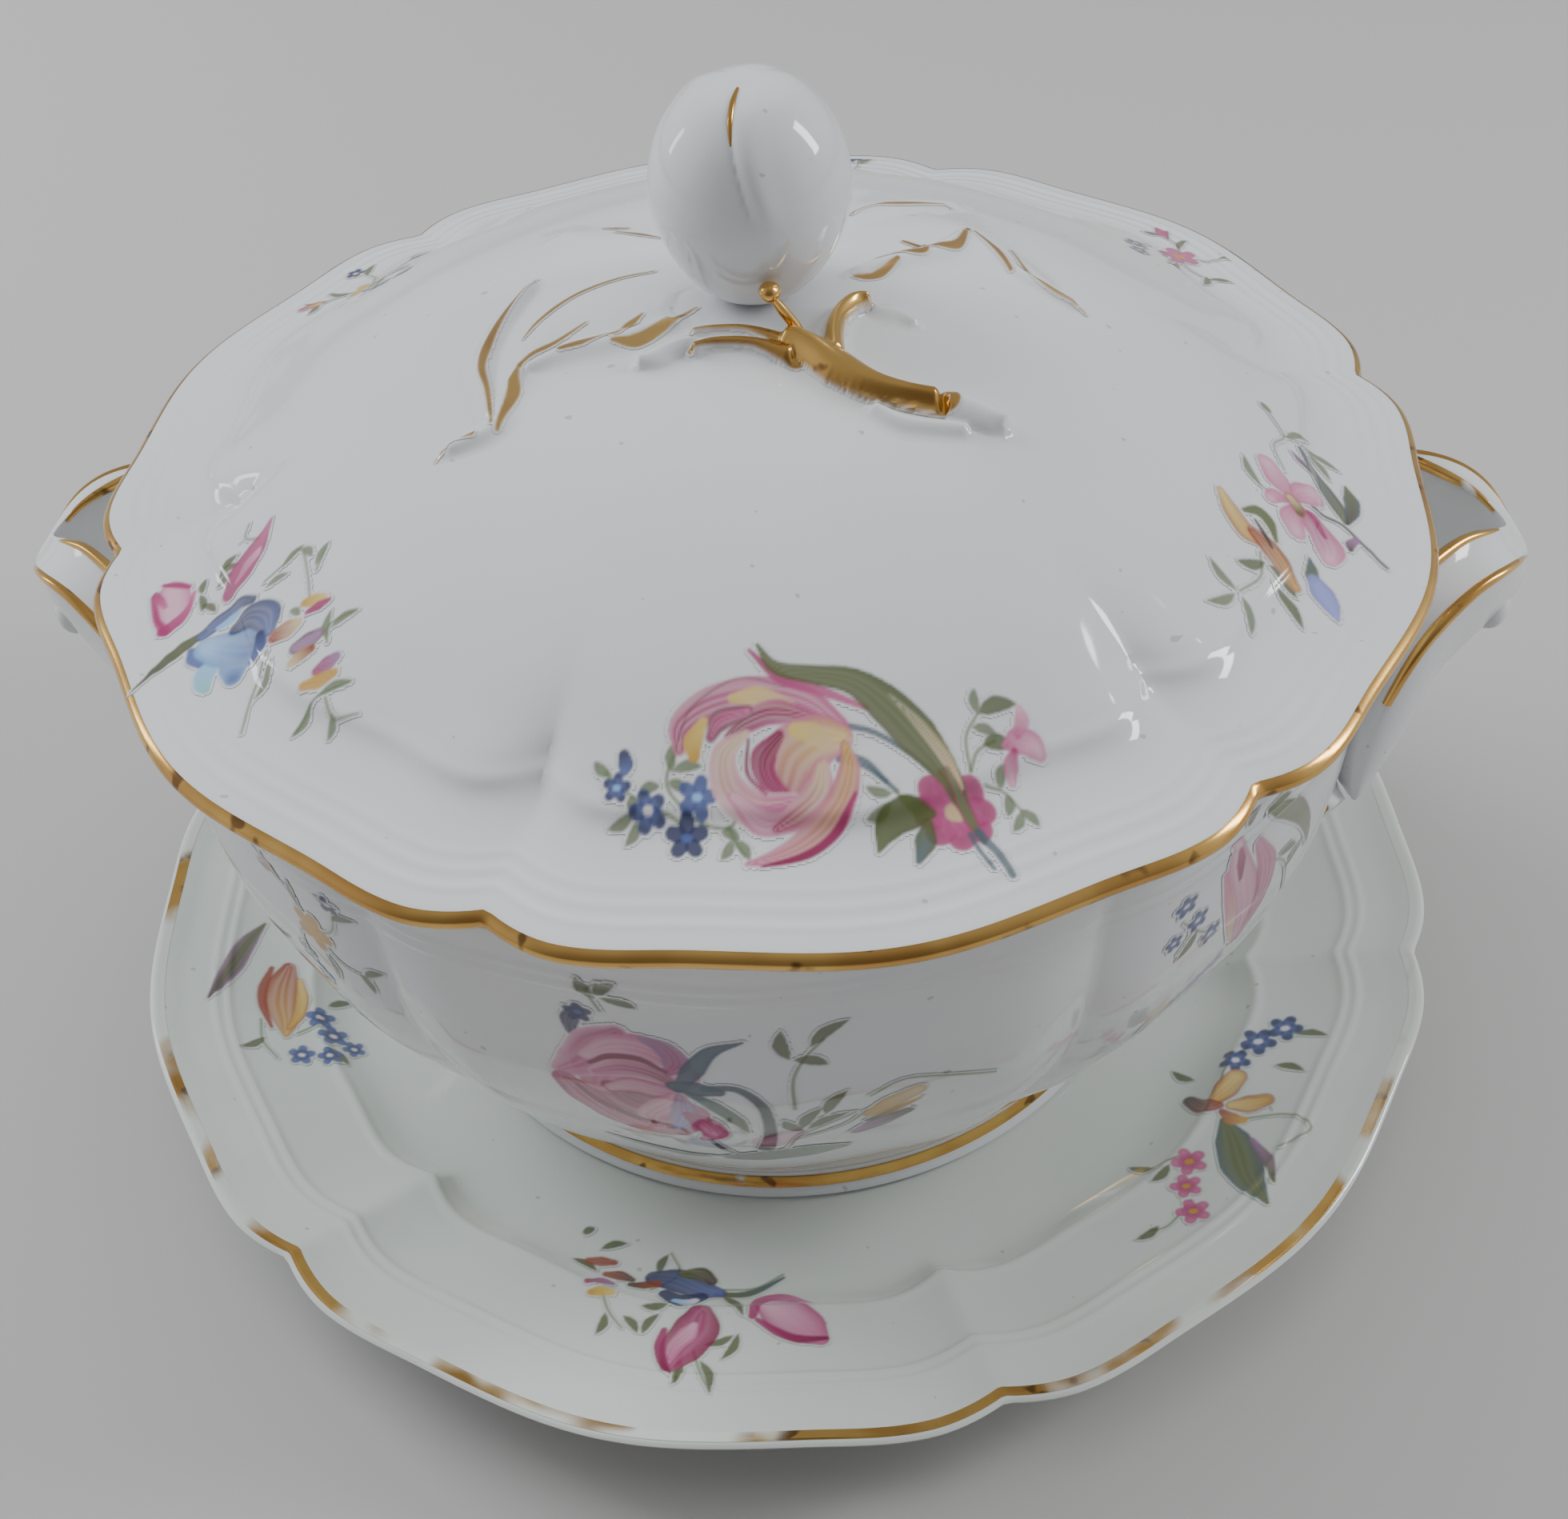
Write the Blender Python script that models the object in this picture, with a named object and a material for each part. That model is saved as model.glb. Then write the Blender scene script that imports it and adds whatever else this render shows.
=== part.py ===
"""Soup tureen: a six-lobed porcelain bowl with two handles, its domed lid and its underplate.

The three loose pieces stand on each other about the Z axis.  Z = 0 is the table, and the two
handles point along +X and -X.  Every piece that the potter casts apart is an object of its own.
"""

import math

import bmesh
import bpy
from mathutils import Vector

MM = 0.001

# ---- driving dimensions ----------------------------------------------------------------------
GAP = 0.3 * MM               # slip joint or glaze between two pieces that touch
LOBES = 6                    # panels round the bowl, the lid and the plate
SMALL_LOBE = 15.5            # degrees from a cusp to the end of the small lobe beside it
STEPS = 6                    # straight steps across half a panel

BOWL_CUSP = 0.0              # degrees, where the first cusp of each piece points
LID_CUSP = 13.0
PLATE_CUSP = 49.0

BOWL_RADIUS = 117.0 * MM     # mean radius of the rim
BOWL_HEIGHT = 115.2 * MM     # from the foot's joint to the rim
BOWL_WALL = 4.2 * MM

FOOT_RADIUS = 78.0 * MM      # foot ring of the bowl, at its gold line
FOOT_HEIGHT = 6.4 * MM
FOOT_WALL = 6.0 * MM

WELL_MARGIN = 14.0 * MM      # from the bowl's foot to the edge of the plate's flat middle
PLATE_RIM_WIDTH = 47.0 * MM  # from the flat middle to the plate's edge
PLATE_EDGE_Z = 24.9 * MM
PLATE_WALL = 4.2 * MM
PLATE_FOOT_HEIGHT = 3.5 * MM
PLATE_FOOT_WALL = 5.0 * MM

LID_OVERHANG = 3.0 * MM      # lid's edge past the bowl's rim
LID_RISE = 39.5 * MM         # from the seat to the top of the dome
LID_WALL = 4.0 * MM
SEAT_INNER_CLEARANCE = 2.0 * MM    # flange to the bowl's inside, at the cusps
FLANGE_WALL = 3.2 * MM
FLANGE_DEPTH = 8.5 * MM

BUD_RADIUS = 17.0 * MM
BUD_HEIGHT = 37.5 * MM
BUD_SHIFT = 1.2 * MM         # the bud is set on by hand, a little off the axis

HANDLE_PROJECTION = 32.0 * MM      # from the bowl's rim to the tip of a handle
LEAF_LENGTH = 22.0 * MM      # pointed leaf below each root of a handle
LEAF_WIDTH = 10.0 * MM
LEAF_DEPTH = 4.0 * MM

# ---- sizes that follow from the ones above -----------------------------------------------------
LID_RADIUS = BOWL_RADIUS + LID_OVERHANG
WELL_RADIUS = FOOT_RADIUS + WELL_MARGIN
PLATE_RADIUS = WELL_RADIUS + PLATE_RIM_WIDTH
PLATE_FOOT_RADIUS = WELL_RADIUS - 4.0 * MM
WELL_Z = PLATE_FOOT_HEIGHT + GAP + PLATE_WALL
FOOT_Z = WELL_Z + GAP
BODY_Z = FOOT_Z + FOOT_HEIGHT + GAP
RIM_Z = BODY_Z + BOWL_HEIGHT
SEAT_Z = RIM_Z + GAP
DOME_Z = SEAT_Z + LID_RISE
FLANGE_RADIUS = BOWL_RADIUS - BOWL_WALL - 2.6 * MM - SEAT_INNER_CLEARANCE

PORCELAIN = (0.86, 0.87, 0.86, 1.0)
PORCELAIN_GREENISH = (0.82, 0.85, 0.81, 1.0)
GILDING = (0.83, 0.55, 0.18, 1.0)


def clear_scene():
    for item in list(bpy.data.objects):
        bpy.data.objects.remove(item, do_unlink=True)


def glazed(name, colour, roughness=0.08, metallic=0.0):
    """A glazed finish; the gold pieces are metallic."""
    material = bpy.data.materials.new(name)
    material.use_nodes = True
    shader = material.node_tree.nodes["Principled BSDF"]
    shader.inputs["Base Color"].default_value = colour
    shader.inputs["Roughness"].default_value = roughness
    shader.inputs["Metallic"].default_value = metallic
    return material


def add_object(name, points, faces, colour, metallic=0.0, smooth_angle=35.0):
    """One closed body, smooth except along its true edges."""
    mesh = bpy.data.meshes.new(name)
    mesh.from_pydata([tuple(p) for p in points], [], faces)
    outward = bmesh.new()
    outward.from_mesh(mesh)
    bmesh.ops.recalc_face_normals(outward, faces=outward.faces)
    outward.to_mesh(mesh)
    outward.free()
    body = bpy.data.objects.new(name, mesh)
    bpy.context.scene.collection.objects.link(body)
    mesh.materials.append(glazed(name + "_glaze", colour, metallic=metallic))
    mesh.shade_smooth()
    mesh.set_sharp_from_angle(angle=math.radians(smooth_angle))
    return body


# ---- lobed pieces turned about the axis ---------------------------------------------------------
def scallop(angle, cusp):
    """Share of the cusp's depth at an angle in degrees: -1 in a cusp, +0.6 on a big lobe."""
    sector = 360.0 / LOBES
    off = (angle - cusp + sector / 2) % sector - sector / 2
    off = abs(off)
    if off < SMALL_LOBE:
        along = off / SMALL_LOBE
        return -(1 - along) - 0.4 * along + 1.1 * math.sin(math.pi * along)
    along = (off - SMALL_LOBE) / (sector / 2 - SMALL_LOBE)
    return -0.4 + math.sin(math.pi / 2 * along)


def panel_angles(cusp):
    """Angles round the piece, with one on every cusp, dip and lobe."""
    sector = 360.0 / LOBES
    half = STEPS // 2
    offs = [SMALL_LOBE * i / half for i in range(half)]
    offs += [SMALL_LOBE + (sector / 2 - SMALL_LOBE) * i / half for i in range(half)]
    offs += [sector / 2] + [sector - off for off in reversed(offs[1:])]
    return [cusp + sector * panel + off for panel in range(LOBES) for off in offs]


def turn(name, profile, cusp, colour, metallic=0.0, smooth_angle=35.0):
    """Turn a closed outline of (radius, height, depth of its lobes) about the Z axis.

    The outline runs up the outside and down the inside; a radius of 0 closes on the axis.
    """
    angles = panel_angles(cusp)
    count = len(angles)
    points, rows = [], []
    for radius, height, depth in profile:
        if radius == 0:
            rows.append([len(points)] * count)
            points.append((0.0, 0.0, height))
            continue
        row = []
        for angle in angles:
            out = radius + depth * scallop(angle, cusp)
            turn_by = math.radians(angle)
            row.append(len(points))
            points.append((out * math.cos(turn_by), out * math.sin(turn_by), height))
        rows.append(row)
    on_axis = profile[0][0] == 0 and profile[-1][0] == 0
    pairs = list(zip(rows, rows[1:]))
    if not on_axis:
        pairs.append((rows[-1], rows[0]))
    faces = []
    for low, high in pairs:
        for i in range(count):
            j = (i + 1) % count
            corners = [low[i], low[j], high[j], high[i]]
            faces.append(list(dict.fromkeys(corners)))
    return add_object(name, points, faces, colour, metallic, smooth_angle)


def offset_inwards(profile, wall):
    """The inner side of a wall: the outline moved square to itself, towards the left of its run."""
    moved = []
    for i, (radius, height, depth) in enumerate(profile):
        before = profile[max(i - 1, 0)]
        after = profile[min(i + 1, len(profile) - 1)]
        run = Vector((after[0] - before[0], after[1] - before[1])).normalized()
        moved.append((radius - run.y * wall, height + run.x * wall, depth))
    return moved


# ---- underplate ------------------------------------------------------------------------------------
def plate_outline():
    """Top side of the plate from its edge to the middle: rim, moulding, ridge, cove and well."""
    rise = PLATE_EDGE_Z - WELL_Z
    edge = PLATE_RADIUS
    ridge = WELL_RADIUS + 0.325 * (edge - WELL_RADIUS)
    bead = WELL_RADIUS + 0.725 * (edge - WELL_RADIUS)
    lobe = 2.0 * MM
    return [
        (edge, WELL_Z + rise, lobe),
        (bead + 3 * MM, WELL_Z + 0.77 * rise, lobe),
        (bead, WELL_Z + 0.78 * rise, lobe),
        (bead - 2.5 * MM, WELL_Z + 0.68 * rise, lobe),
        (ridge, WELL_Z + 0.38 * rise, lobe),
        (ridge - 4 * MM, WELL_Z + 0.17 * rise, 0.5 * lobe),
        (WELL_RADIUS, WELL_Z, 0.0),
        (0.0, WELL_Z, 0.0),
    ]


def make_underplate():
    top = plate_outline()
    edge_radius, edge_z, lobe = top[0]
    under = [
        (0.0, WELL_Z - PLATE_WALL, 0.0),
        (WELL_RADIUS + 2 * MM, WELL_Z - PLATE_WALL, 0.0),
        (top[4][0] + 1 * MM, top[4][1] - PLATE_WALL, lobe),
        (edge_radius - 1.5 * MM, edge_z - 0.7 * PLATE_WALL, lobe),
    ]
    lip = [(edge_radius + 0.3 * MM, edge_z - 0.4 * PLATE_WALL, lobe)]
    turn("underplate", under + lip + top, PLATE_CUSP, PORCELAIN_GREENISH)
    outer, inner = PLATE_FOOT_RADIUS, PLATE_FOOT_RADIUS - PLATE_FOOT_WALL
    ring = [
        (inner + 0.5 * MM, 0.0, 0.0),
        (outer - 0.5 * MM, 0.0, 0.0),
        (outer, PLATE_FOOT_HEIGHT, 0.0),
        (inner, PLATE_FOOT_HEIGHT, 0.0),
    ]
    turn("underplate_foot_ring", ring, PLATE_CUSP, PORCELAIN_GREENISH)


# ---- bowl ---------------------------------------------------------------------------------------
def bowl_outline():
    """Outside of the bowl from its foot to the rim: shares of its height and of its flare."""
    lobe = 2.6 * MM
    flare = BOWL_RADIUS - FOOT_RADIUS
    shape = [
        (0.045, 0.06, 0.5), (0.115, 0.18, 0.8), (0.20, 0.335, 1.1), (0.29, 0.49, 1.3),
        (0.39, 0.65, 1.3), (0.50, 0.80, 1.2), (0.61, 0.895, 1.1), (0.73, 0.935, 1.0),
        (0.84, 0.935, 1.0), (0.865, 0.955, 1.0), (0.89, 0.94, 1.0), (0.955, 0.98, 1.0),
        (1.0, 1.0, 1.0),
    ]
    return [(FOOT_RADIUS + flare * r, BODY_Z + BOWL_HEIGHT * h, lobe * deep) for h, r, deep in shape]


def make_bowl():
    outside = [(0.0, BODY_Z, 0.0), (FOOT_RADIUS - 2 * MM, BODY_Z, 0.0)] + bowl_outline()
    wall = [p for i, p in enumerate(bowl_outline()) if i not in (9, 11)]
    inside = offset_inwards(wall, BOWL_WALL)
    inside[-1] = (BOWL_RADIUS - BOWL_WALL, RIM_Z, wall[-1][2])
    floor = [(FOOT_RADIUS - 6 * MM, BODY_Z + BOWL_WALL, 0.0), (0.0, BODY_Z + BOWL_WALL, 0.0)]
    turn("bowl_body", outside + inside[::-1] + floor, BOWL_CUSP, PORCELAIN)
    ring = [
        (FOOT_RADIUS - FOOT_WALL, FOOT_Z, 0.0),
        (FOOT_RADIUS + 1.6 * MM, FOOT_Z, 0.0),
        (FOOT_RADIUS + 1.2 * MM, FOOT_Z + 0.25 * FOOT_HEIGHT, 0.0),
        (FOOT_RADIUS, FOOT_Z + 0.6 * FOOT_HEIGHT, 0.0),
        (FOOT_RADIUS - 1.2 * MM, FOOT_Z + FOOT_HEIGHT, 0.0),
        (FOOT_RADIUS - FOOT_WALL - 2 * MM, FOOT_Z + FOOT_HEIGHT, 0.0),
    ]
    turn("bowl_foot", ring, BOWL_CUSP, PORCELAIN)


def bowl_radius_at(height, angle):
    """Radius of the bowl's outside at a height and an angle in degrees."""
    outline = bowl_outline()
    for (r0, z0, d0), (r1, z1, d1) in zip(outline, outline[1:]):
        if z0 <= height <= z1:
            share = (height - z0) / (z1 - z0)
            depth = d0 + share * (d1 - d0)
            return r0 + share * (r1 - r0) + depth * scallop(angle, BOWL_CUSP)
    return outline[-1][0]


# ---- handles -------------------------------------------------------------------------------------
def smooth_rail(knots, count):
    """Points along a smooth curve through the knots (a Catmull-Rom spline)."""
    knots = [Vector(k) for k in knots]
    padded = [2 * knots[0] - knots[1]] + knots + [2 * knots[-1] - knots[-2]]
    rail = []
    for step in range(count):
        place = step * (len(knots) - 1) / (count - 1)
        i = min(int(place), len(knots) - 2)
        t = place - i
        a, b, c, d = padded[i:i + 4]
        rail.append(0.5 * (2 * b + (c - a) * t + (2 * a - 5 * b + 4 * c - d) * t * t
                           + (3 * b - a - 3 * c + d) * t ** 3))
    return rail


# One half of a handle, from its root on the bowl to the tip: (reach, sideways, height) in mm.
# The reach counts from the bowl's rim, the height from the rim down, both as built at full size.
INNER_EDGE = [(-0.5, 23.5, -9), (4.5, 17.5, -7.5), (12.5, 10.2, -7), (19, 5.6, -9), (24.2, 0, -12)]
OUTER_EDGE = [(-0.5, 31, -33), (4, 27.5, -16.5), (13, 21, -10.5), (23.5, 13, -10.5), (33, 0, -22)]
LOWER_EDGE = [(-0.5, 31, -52), (4.5, 27, -43), (9, 21, -34), (18, 12, -31), (30, 0, -31)]
UNDER_EDGE = [(-0.5, 23, -46), (1.5, 19, -40), (5.5, 13.5, -33), (13, 7, -31), (22, 0, -33)]
HANDLE_STEPS = 7


def handle_sections():
    """Sections of a handle from the front root round the tip to the rear root."""
    scale = HANDLE_PROJECTION / (33 * MM)
    half = []
    rails = [smooth_rail(knots, HANDLE_STEPS)
             for knots in (INNER_EDGE, OUTER_EDGE, LOWER_EDGE, UNDER_EDGE)]
    for corners in zip(*rails):
        section = []
        for corner in corners:
            x = BOWL_RADIUS + corner.x * MM * scale
            y = -corner.y * MM
            z = RIM_Z + corner.z * MM
            section.append(Vector((x, y, z)))
        half.append(section)
    for i, corner in enumerate(half[0]):
        half[0][i] = on_bowl(corner)
    for _ in range(40):
        if not move_clear_of_bowl(half):
            break
    mirrored = [[Vector((p.x, -p.y, p.z)) for p in section] for section in reversed(half[:-1])]
    return half + mirrored


def move_clear_of_bowl(half):
    """Move the corners of any face near the root that runs into the bowl's bulge out of it."""
    moved = False
    faces = [((0, 0), (0, 1), (0, 2), (0, 3))]
    for bay in range(3):
        faces += [((bay, k), (bay, (k + 1) % 4), (bay + 1, (k + 1) % 4), (bay + 1, k)) for k in range(4)]
    for face in faces:
        a, b, c, d = (half[row][k] for row, k in face)
        short = 0.0
        for first, second, third in ((a, b, c), (a, c, d), (a, b, d), (b, c, d)):
            for u in (0.0, 0.15, 0.3, 0.45, 0.6, 0.75, 0.9, 1.0):
                for v in (0.0, 0.25, 0.5, 0.75, 1.0):
                    p = first.lerp(second, u).lerp(third, v)
                    wall = bowl_radius_at(p.z, math.degrees(math.atan2(p.y, p.x)))
                    short = max(short, wall + 0.5 * GAP - math.hypot(p.x, p.y))
        if short > 0:
            moved = True
            for row, k in face:
                corner = half[row][k]
                out = (short + 0.2 * GAP) / math.hypot(corner.x, corner.y)
                half[row][k] = Vector((corner.x * (1 + out), corner.y * (1 + out), corner.z))
    return moved


def on_bowl(corner):
    """The point outwards from the axis through a corner that clears the bowl's wall by the gap."""
    angle = math.atan2(corner.y, corner.x)
    radius = bowl_radius_at(corner.z, math.degrees(angle)) + 5 * GAP
    return Vector((radius * math.cos(angle), radius * math.sin(angle), corner.z))


def make_handle(name, side):
    sections = handle_sections()
    size = len(sections[0])
    points = [Vector((side * p.x, p.y, p.z)) for section in sections for p in section]
    faces = []
    for s in range(len(sections) - 1):
        for i in range(size):
            j = (i + 1) % size
            a, b = s * size + i, s * size + j
            faces.append([a, b, b + size, a + size])
    last = (len(sections) - 1) * size
    faces.append(list(reversed(range(size))))
    faces.append([last + i for i in range(size)])
    add_object(name, points, faces, PORCELAIN, smooth_angle=50.0)


def make_handle_leaf(name, side_x, side_y):
    """Pointed leaf on the bowl's wall under one root of a handle."""
    root = handle_sections()[0]
    outer, inner = root[2], root[3]
    top_z = outer.z - GAP - 1.0 * MM
    middle = math.degrees(math.atan2(outer.y, outer.x)) * 0.5
    middle += math.degrees(math.atan2(inner.y, inner.x)) * 0.5
    steps = 5
    points, faces = [], []
    for step in range(steps):
        share = step / (steps - 1)
        z = top_z - LEAF_LENGTH * share
        half_width = 0.5 * LEAF_WIDTH * (1 - 0.85 * share)
        depth = LEAF_DEPTH * (1 - 0.7 * share)
        spread = math.degrees(half_width / BOWL_RADIUS)
        for off, proud in ((-spread, 0.0), (spread, 0.0), (0.75 * spread, depth), (-0.75 * spread, depth)):
            angle = middle + off
            wall = max(bowl_radius_at(z, angle + a) for a in (-2, 0, 2))
            radius = wall + 2 * GAP + proud
            turn_by = math.radians(angle)
            points.append((side_x * radius * math.cos(turn_by), -side_y * radius * math.sin(turn_by), z))
    for step in range(steps - 1):
        base = 4 * step
        for i in range(4):
            j = (i + 1) % 4
            faces.append([base + i, base + j, base + j + 4, base + i + 4])
    faces.append([3, 2, 1, 0])
    last = 4 * (steps - 1)
    faces.append([last, last + 1, last + 2, last + 3])
    add_object(name, points, faces, PORCELAIN)


# ---- lid ----------------------------------------------------------------------------------------
def lid_outline():
    """Outside of the lid from the top of the dome to its edge, as shares of radius and rise."""
    lobe = 2.6 * MM
    shape = [
        (0.0, 1.0, 0.0), (0.167, 0.975, 0.0), (0.375, 0.868, 0.0), (0.583, 0.653, 0.0),
        (0.733, 0.425, 0.5), (0.783, 0.339, 1.3), (0.813, 0.276, 1.5), (0.833, 0.225, 1.4),
        (0.858, 0.190, 1.2), (0.883, 0.167, 1.1), (0.925, 0.139, 1.0), (0.967, 0.111, 1.0),
        (0.992, 0.089, 1.0), (1.003, 0.058, 1.0), (1.002, 0.023, 1.0),
    ]
    return [(LID_RADIUS * r, SEAT_Z + LID_RISE * h, lobe * deep) for r, h, deep in shape]


def make_lid():
    outside = lid_outline()
    hollow = [p for p in outside if p[0] < 0.85 * LID_RADIUS]
    inside = [(r * 0.975, z - LID_WALL, depth) for r, z, depth in hollow]
    seat = [
        (LID_RADIUS - 1.5 * MM, SEAT_Z, outside[-1][2]),
        (FLANGE_RADIUS - FLANGE_WALL - 0.5 * MM, SEAT_Z, 0.0),
        (FLANGE_RADIUS - FLANGE_WALL - 1.5 * MM, SEAT_Z + 2.5 * MM, 0.0),
    ]
    turn("lid_dome", (outside + seat + inside[::-1])[::-1], LID_CUSP, PORCELAIN)
    top = SEAT_Z - GAP
    ring = [
        (FLANGE_RADIUS - FLANGE_WALL + 0.4 * MM, top - FLANGE_DEPTH, 0.0),
        (FLANGE_RADIUS - 0.6 * MM, top - FLANGE_DEPTH, 0.0),
        (FLANGE_RADIUS, top, 0.0),
        (FLANGE_RADIUS - FLANGE_WALL, top, 0.0),
    ]
    turn("lid_flange", ring, LID_CUSP, PORCELAIN)


def dome_height(radius):
    outline = lid_outline()
    for (r0, z0, _), (r1, z1, _) in zip(outline, outline[1:]):
        if r0 <= radius <= r1:
            return z0 + (radius - r0) / (r1 - r0) * (z1 - z0)
    return SEAT_Z


def make_bud():
    """Closed flower bud that serves as the lid's knob."""
    base = DOME_Z + GAP
    shape = [(0.0, 0.0), (0.30, 0.0), (0.50, 0.045), (0.73, 0.15), (0.90, 0.29), (1.0, 0.46),
             (0.97, 0.64), (0.81, 0.82), (0.53, 0.95), (0.2, 1.0), (0.0, 0.995)]
    outline = [(BUD_RADIUS * r, base + BUD_HEIGHT * h, 0.0) for r, h in shape]
    bud = turn("finial_bud", outline, LID_CUSP, PORCELAIN)
    for vertex in bud.data.vertices:
        vertex.co.x += BUD_SHIFT


def relief(name, knots, colour, metallic=0.0):
    """A sprig laid on the dome along a line of (x, y, width), with its height, all in mm."""
    steps = 1 + 3 * (len(knots) - 1)
    line = smooth_rail([Vector((x, y, 0)) * MM for x, y, _, _ in knots], steps)
    sizes = smooth_rail([Vector((width, height, 0)) * MM for _, _, width, height in knots], steps)
    points, faces = [], []
    section = ((-0.5, 0.0), (0.0, 0.0), (0.5, 0.0), (0.38, 0.7), (0.0, 1.0), (-0.38, 0.7))
    for i, (middle, (width, height, _)) in enumerate(zip(line, sizes)):
        run = (line[min(i + 1, steps - 1)] - line[max(i - 1, 0)]).normalized()
        across = Vector((-run.y, run.x, 0))
        for share, lift in section:
            place = middle + across * share * width
            z = dome_height(place.length) + GAP + height * lift
            points.append((place.x, place.y, z))
    size = len(section)
    for s in range(steps - 1):
        for i in range(size):
            j = (i + 1) % size
            a, b = s * size + i, s * size + j
            faces.append([a, b, b + size, a + size])
    last = (steps - 1) * size
    faces.append(list(reversed(range(size))))
    faces.append([last + i for i in range(size)])
    add_object(name, points, faces, colour, metallic)


def make_twig():
    """Bare twig that rises from the branch beside the bud and ends in a knob."""
    knots = [(9.0, -14.3, 0.5, 1.0), (7.6, -15.2, 3.0, 1.0), (6.0, -16.8, 5.8, 1.1),
             (5.2, -17.9, 7.4, 1.7), (4.9, -18.3, 9.0, 1.0)]
    points, faces = [], []
    for x, y, rise, radius in knots:
        middle = Vector((x, y, 0)) * MM
        middle.z = dome_height(middle.length) + GAP + rise * MM
        for i in range(6):
            turn_by = math.radians(60 * i)
            across = Vector((math.cos(turn_by), 0.8 * math.sin(turn_by), 0.5 * math.sin(turn_by)))
            points.append(middle + across * radius * MM)
    for base in range(0, 6 * len(knots) - 6, 6):
        faces += [[base + i, base + (i + 1) % 6, base + (i + 1) % 6 + 6, base + i + 6] for i in range(6)]
    faces += [list(range(5, -1, -1)), [6 * len(knots) - 6 + i for i in range(6)]]
    add_object("finial_twig", points, faces, GILDING, 1.0)


def make_sprigs():
    relief("finial_branch", [
        (42.5, -30.2, 4.5, 2.2), (36.8, -29.7, 5.5, 2.8), (30.5, -29.0, 4.5, 2.8), (23.5, -26.8, 4, 2.6),
        (15.6, -21.6, 4, 2.4), (9.4, -17.6, 3.6, 2.2), (3, -16.4, 3, 2.0), (-4, -16.7, 3, 2.0),
        (-11, -18.0, 4.5, 2.0), (-17.3, -20.8, 2, 1.4),
    ], PORCELAIN)
    make_twig()
    relief("finial_hook_twig", [(16.0, -18.2, 2.4, 2.2), (15.4, -13.4, 2.6, 2.2),
                                (16.4, -8.4, 2.6, 2.2), (20.4, -4.4, 3.0, 2.0)], GILDING, 1.0)
    relief("finial_leaf_left", [(-10.5, -5.0, 3, 1.4), (-20, -4.5, 9, 1.8), (-31, -4.5, 12, 1.8),
                                (-39.5, -9.0, 12, 1.8), (-43, -22, 8, 1.6), (-46, -33, 2, 1.0)],
           PORCELAIN)
    relief("finial_leaf_right", [(14.0, 5.0, 3, 1.4), (22, 12, 8, 1.8), (30, 18.5, 11, 1.8),
                                 (39, 23, 12, 1.8), (46.5, 15, 9, 1.6), (55, 8.5, 2, 1.0)],
           PORCELAIN)
    relief("finial_leaf_back_left", [(-6.5, 12.5, 3, 1.4), (-14, 21, 7, 1.6), (-22, 29, 9, 1.6),
                                     (-31, 38, 2.5, 1.0)], PORCELAIN)
    relief("finial_leaf_back_right", [(8, 14, 3, 1.4), (13, 27, 7, 1.6), (21, 37, 9, 1.6),
                                      (33, 39, 2.5, 1.0)], PORCELAIN)


clear_scene()
make_underplate()
make_bowl()
for side_name, side in (("right", 1), ("left", -1)):
    make_handle("handle_" + side_name, side)
    make_handle_leaf("handle_leaf_front_" + side_name, side, -1)
    make_handle_leaf("handle_leaf_rear_" + side_name, side, 1)
make_lid()
make_bud()
make_sprigs()
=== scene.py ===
import math

import bmesh
import bpy
import numpy as np
from mathutils import Matrix, Vector


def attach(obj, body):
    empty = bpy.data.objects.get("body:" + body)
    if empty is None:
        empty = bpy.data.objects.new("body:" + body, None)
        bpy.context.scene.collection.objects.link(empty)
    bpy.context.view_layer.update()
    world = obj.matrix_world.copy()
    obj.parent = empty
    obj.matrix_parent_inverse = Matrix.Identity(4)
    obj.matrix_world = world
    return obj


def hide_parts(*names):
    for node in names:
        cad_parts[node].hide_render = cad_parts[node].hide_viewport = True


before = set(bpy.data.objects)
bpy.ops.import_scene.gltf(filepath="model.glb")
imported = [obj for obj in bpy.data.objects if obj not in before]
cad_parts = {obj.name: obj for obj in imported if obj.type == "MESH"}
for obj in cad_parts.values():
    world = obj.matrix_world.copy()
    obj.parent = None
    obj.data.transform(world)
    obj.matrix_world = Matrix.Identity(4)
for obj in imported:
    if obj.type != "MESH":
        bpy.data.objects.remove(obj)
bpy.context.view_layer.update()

# ---- Camera -------------------------------------------------------------------------------------
# A phone held above the table in front of the tureen, looking down at the lid.  It is turned a
# few degrees off the line of the handles and leans slightly.
pitch, roll, swing, aim = (math.radians(angle) for angle in (44.22, -3.28, 5.0, 0.267))
camera_data = bpy.data.cameras.new("camera")
camera_data.sensor_width = 36.0
camera_data.lens = 43.69
camera_data.clip_start = 0.01
camera = bpy.data.objects.new("camera", camera_data)
bpy.context.scene.collection.objects.link(camera)
turned = Matrix.Rotation(swing - aim, 4, "Z")
leaned = Matrix.Rotation(math.pi / 2 - pitch, 4, "X") @ Matrix.Rotation(roll, 4, "Z")
place = Matrix.Rotation(swing, 4, "Z") @ Vector((0.0, -0.2936, 0.3414))
camera.matrix_world = Matrix.Translation(place) @ turned @ leaned
bpy.context.scene.camera = camera


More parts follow.
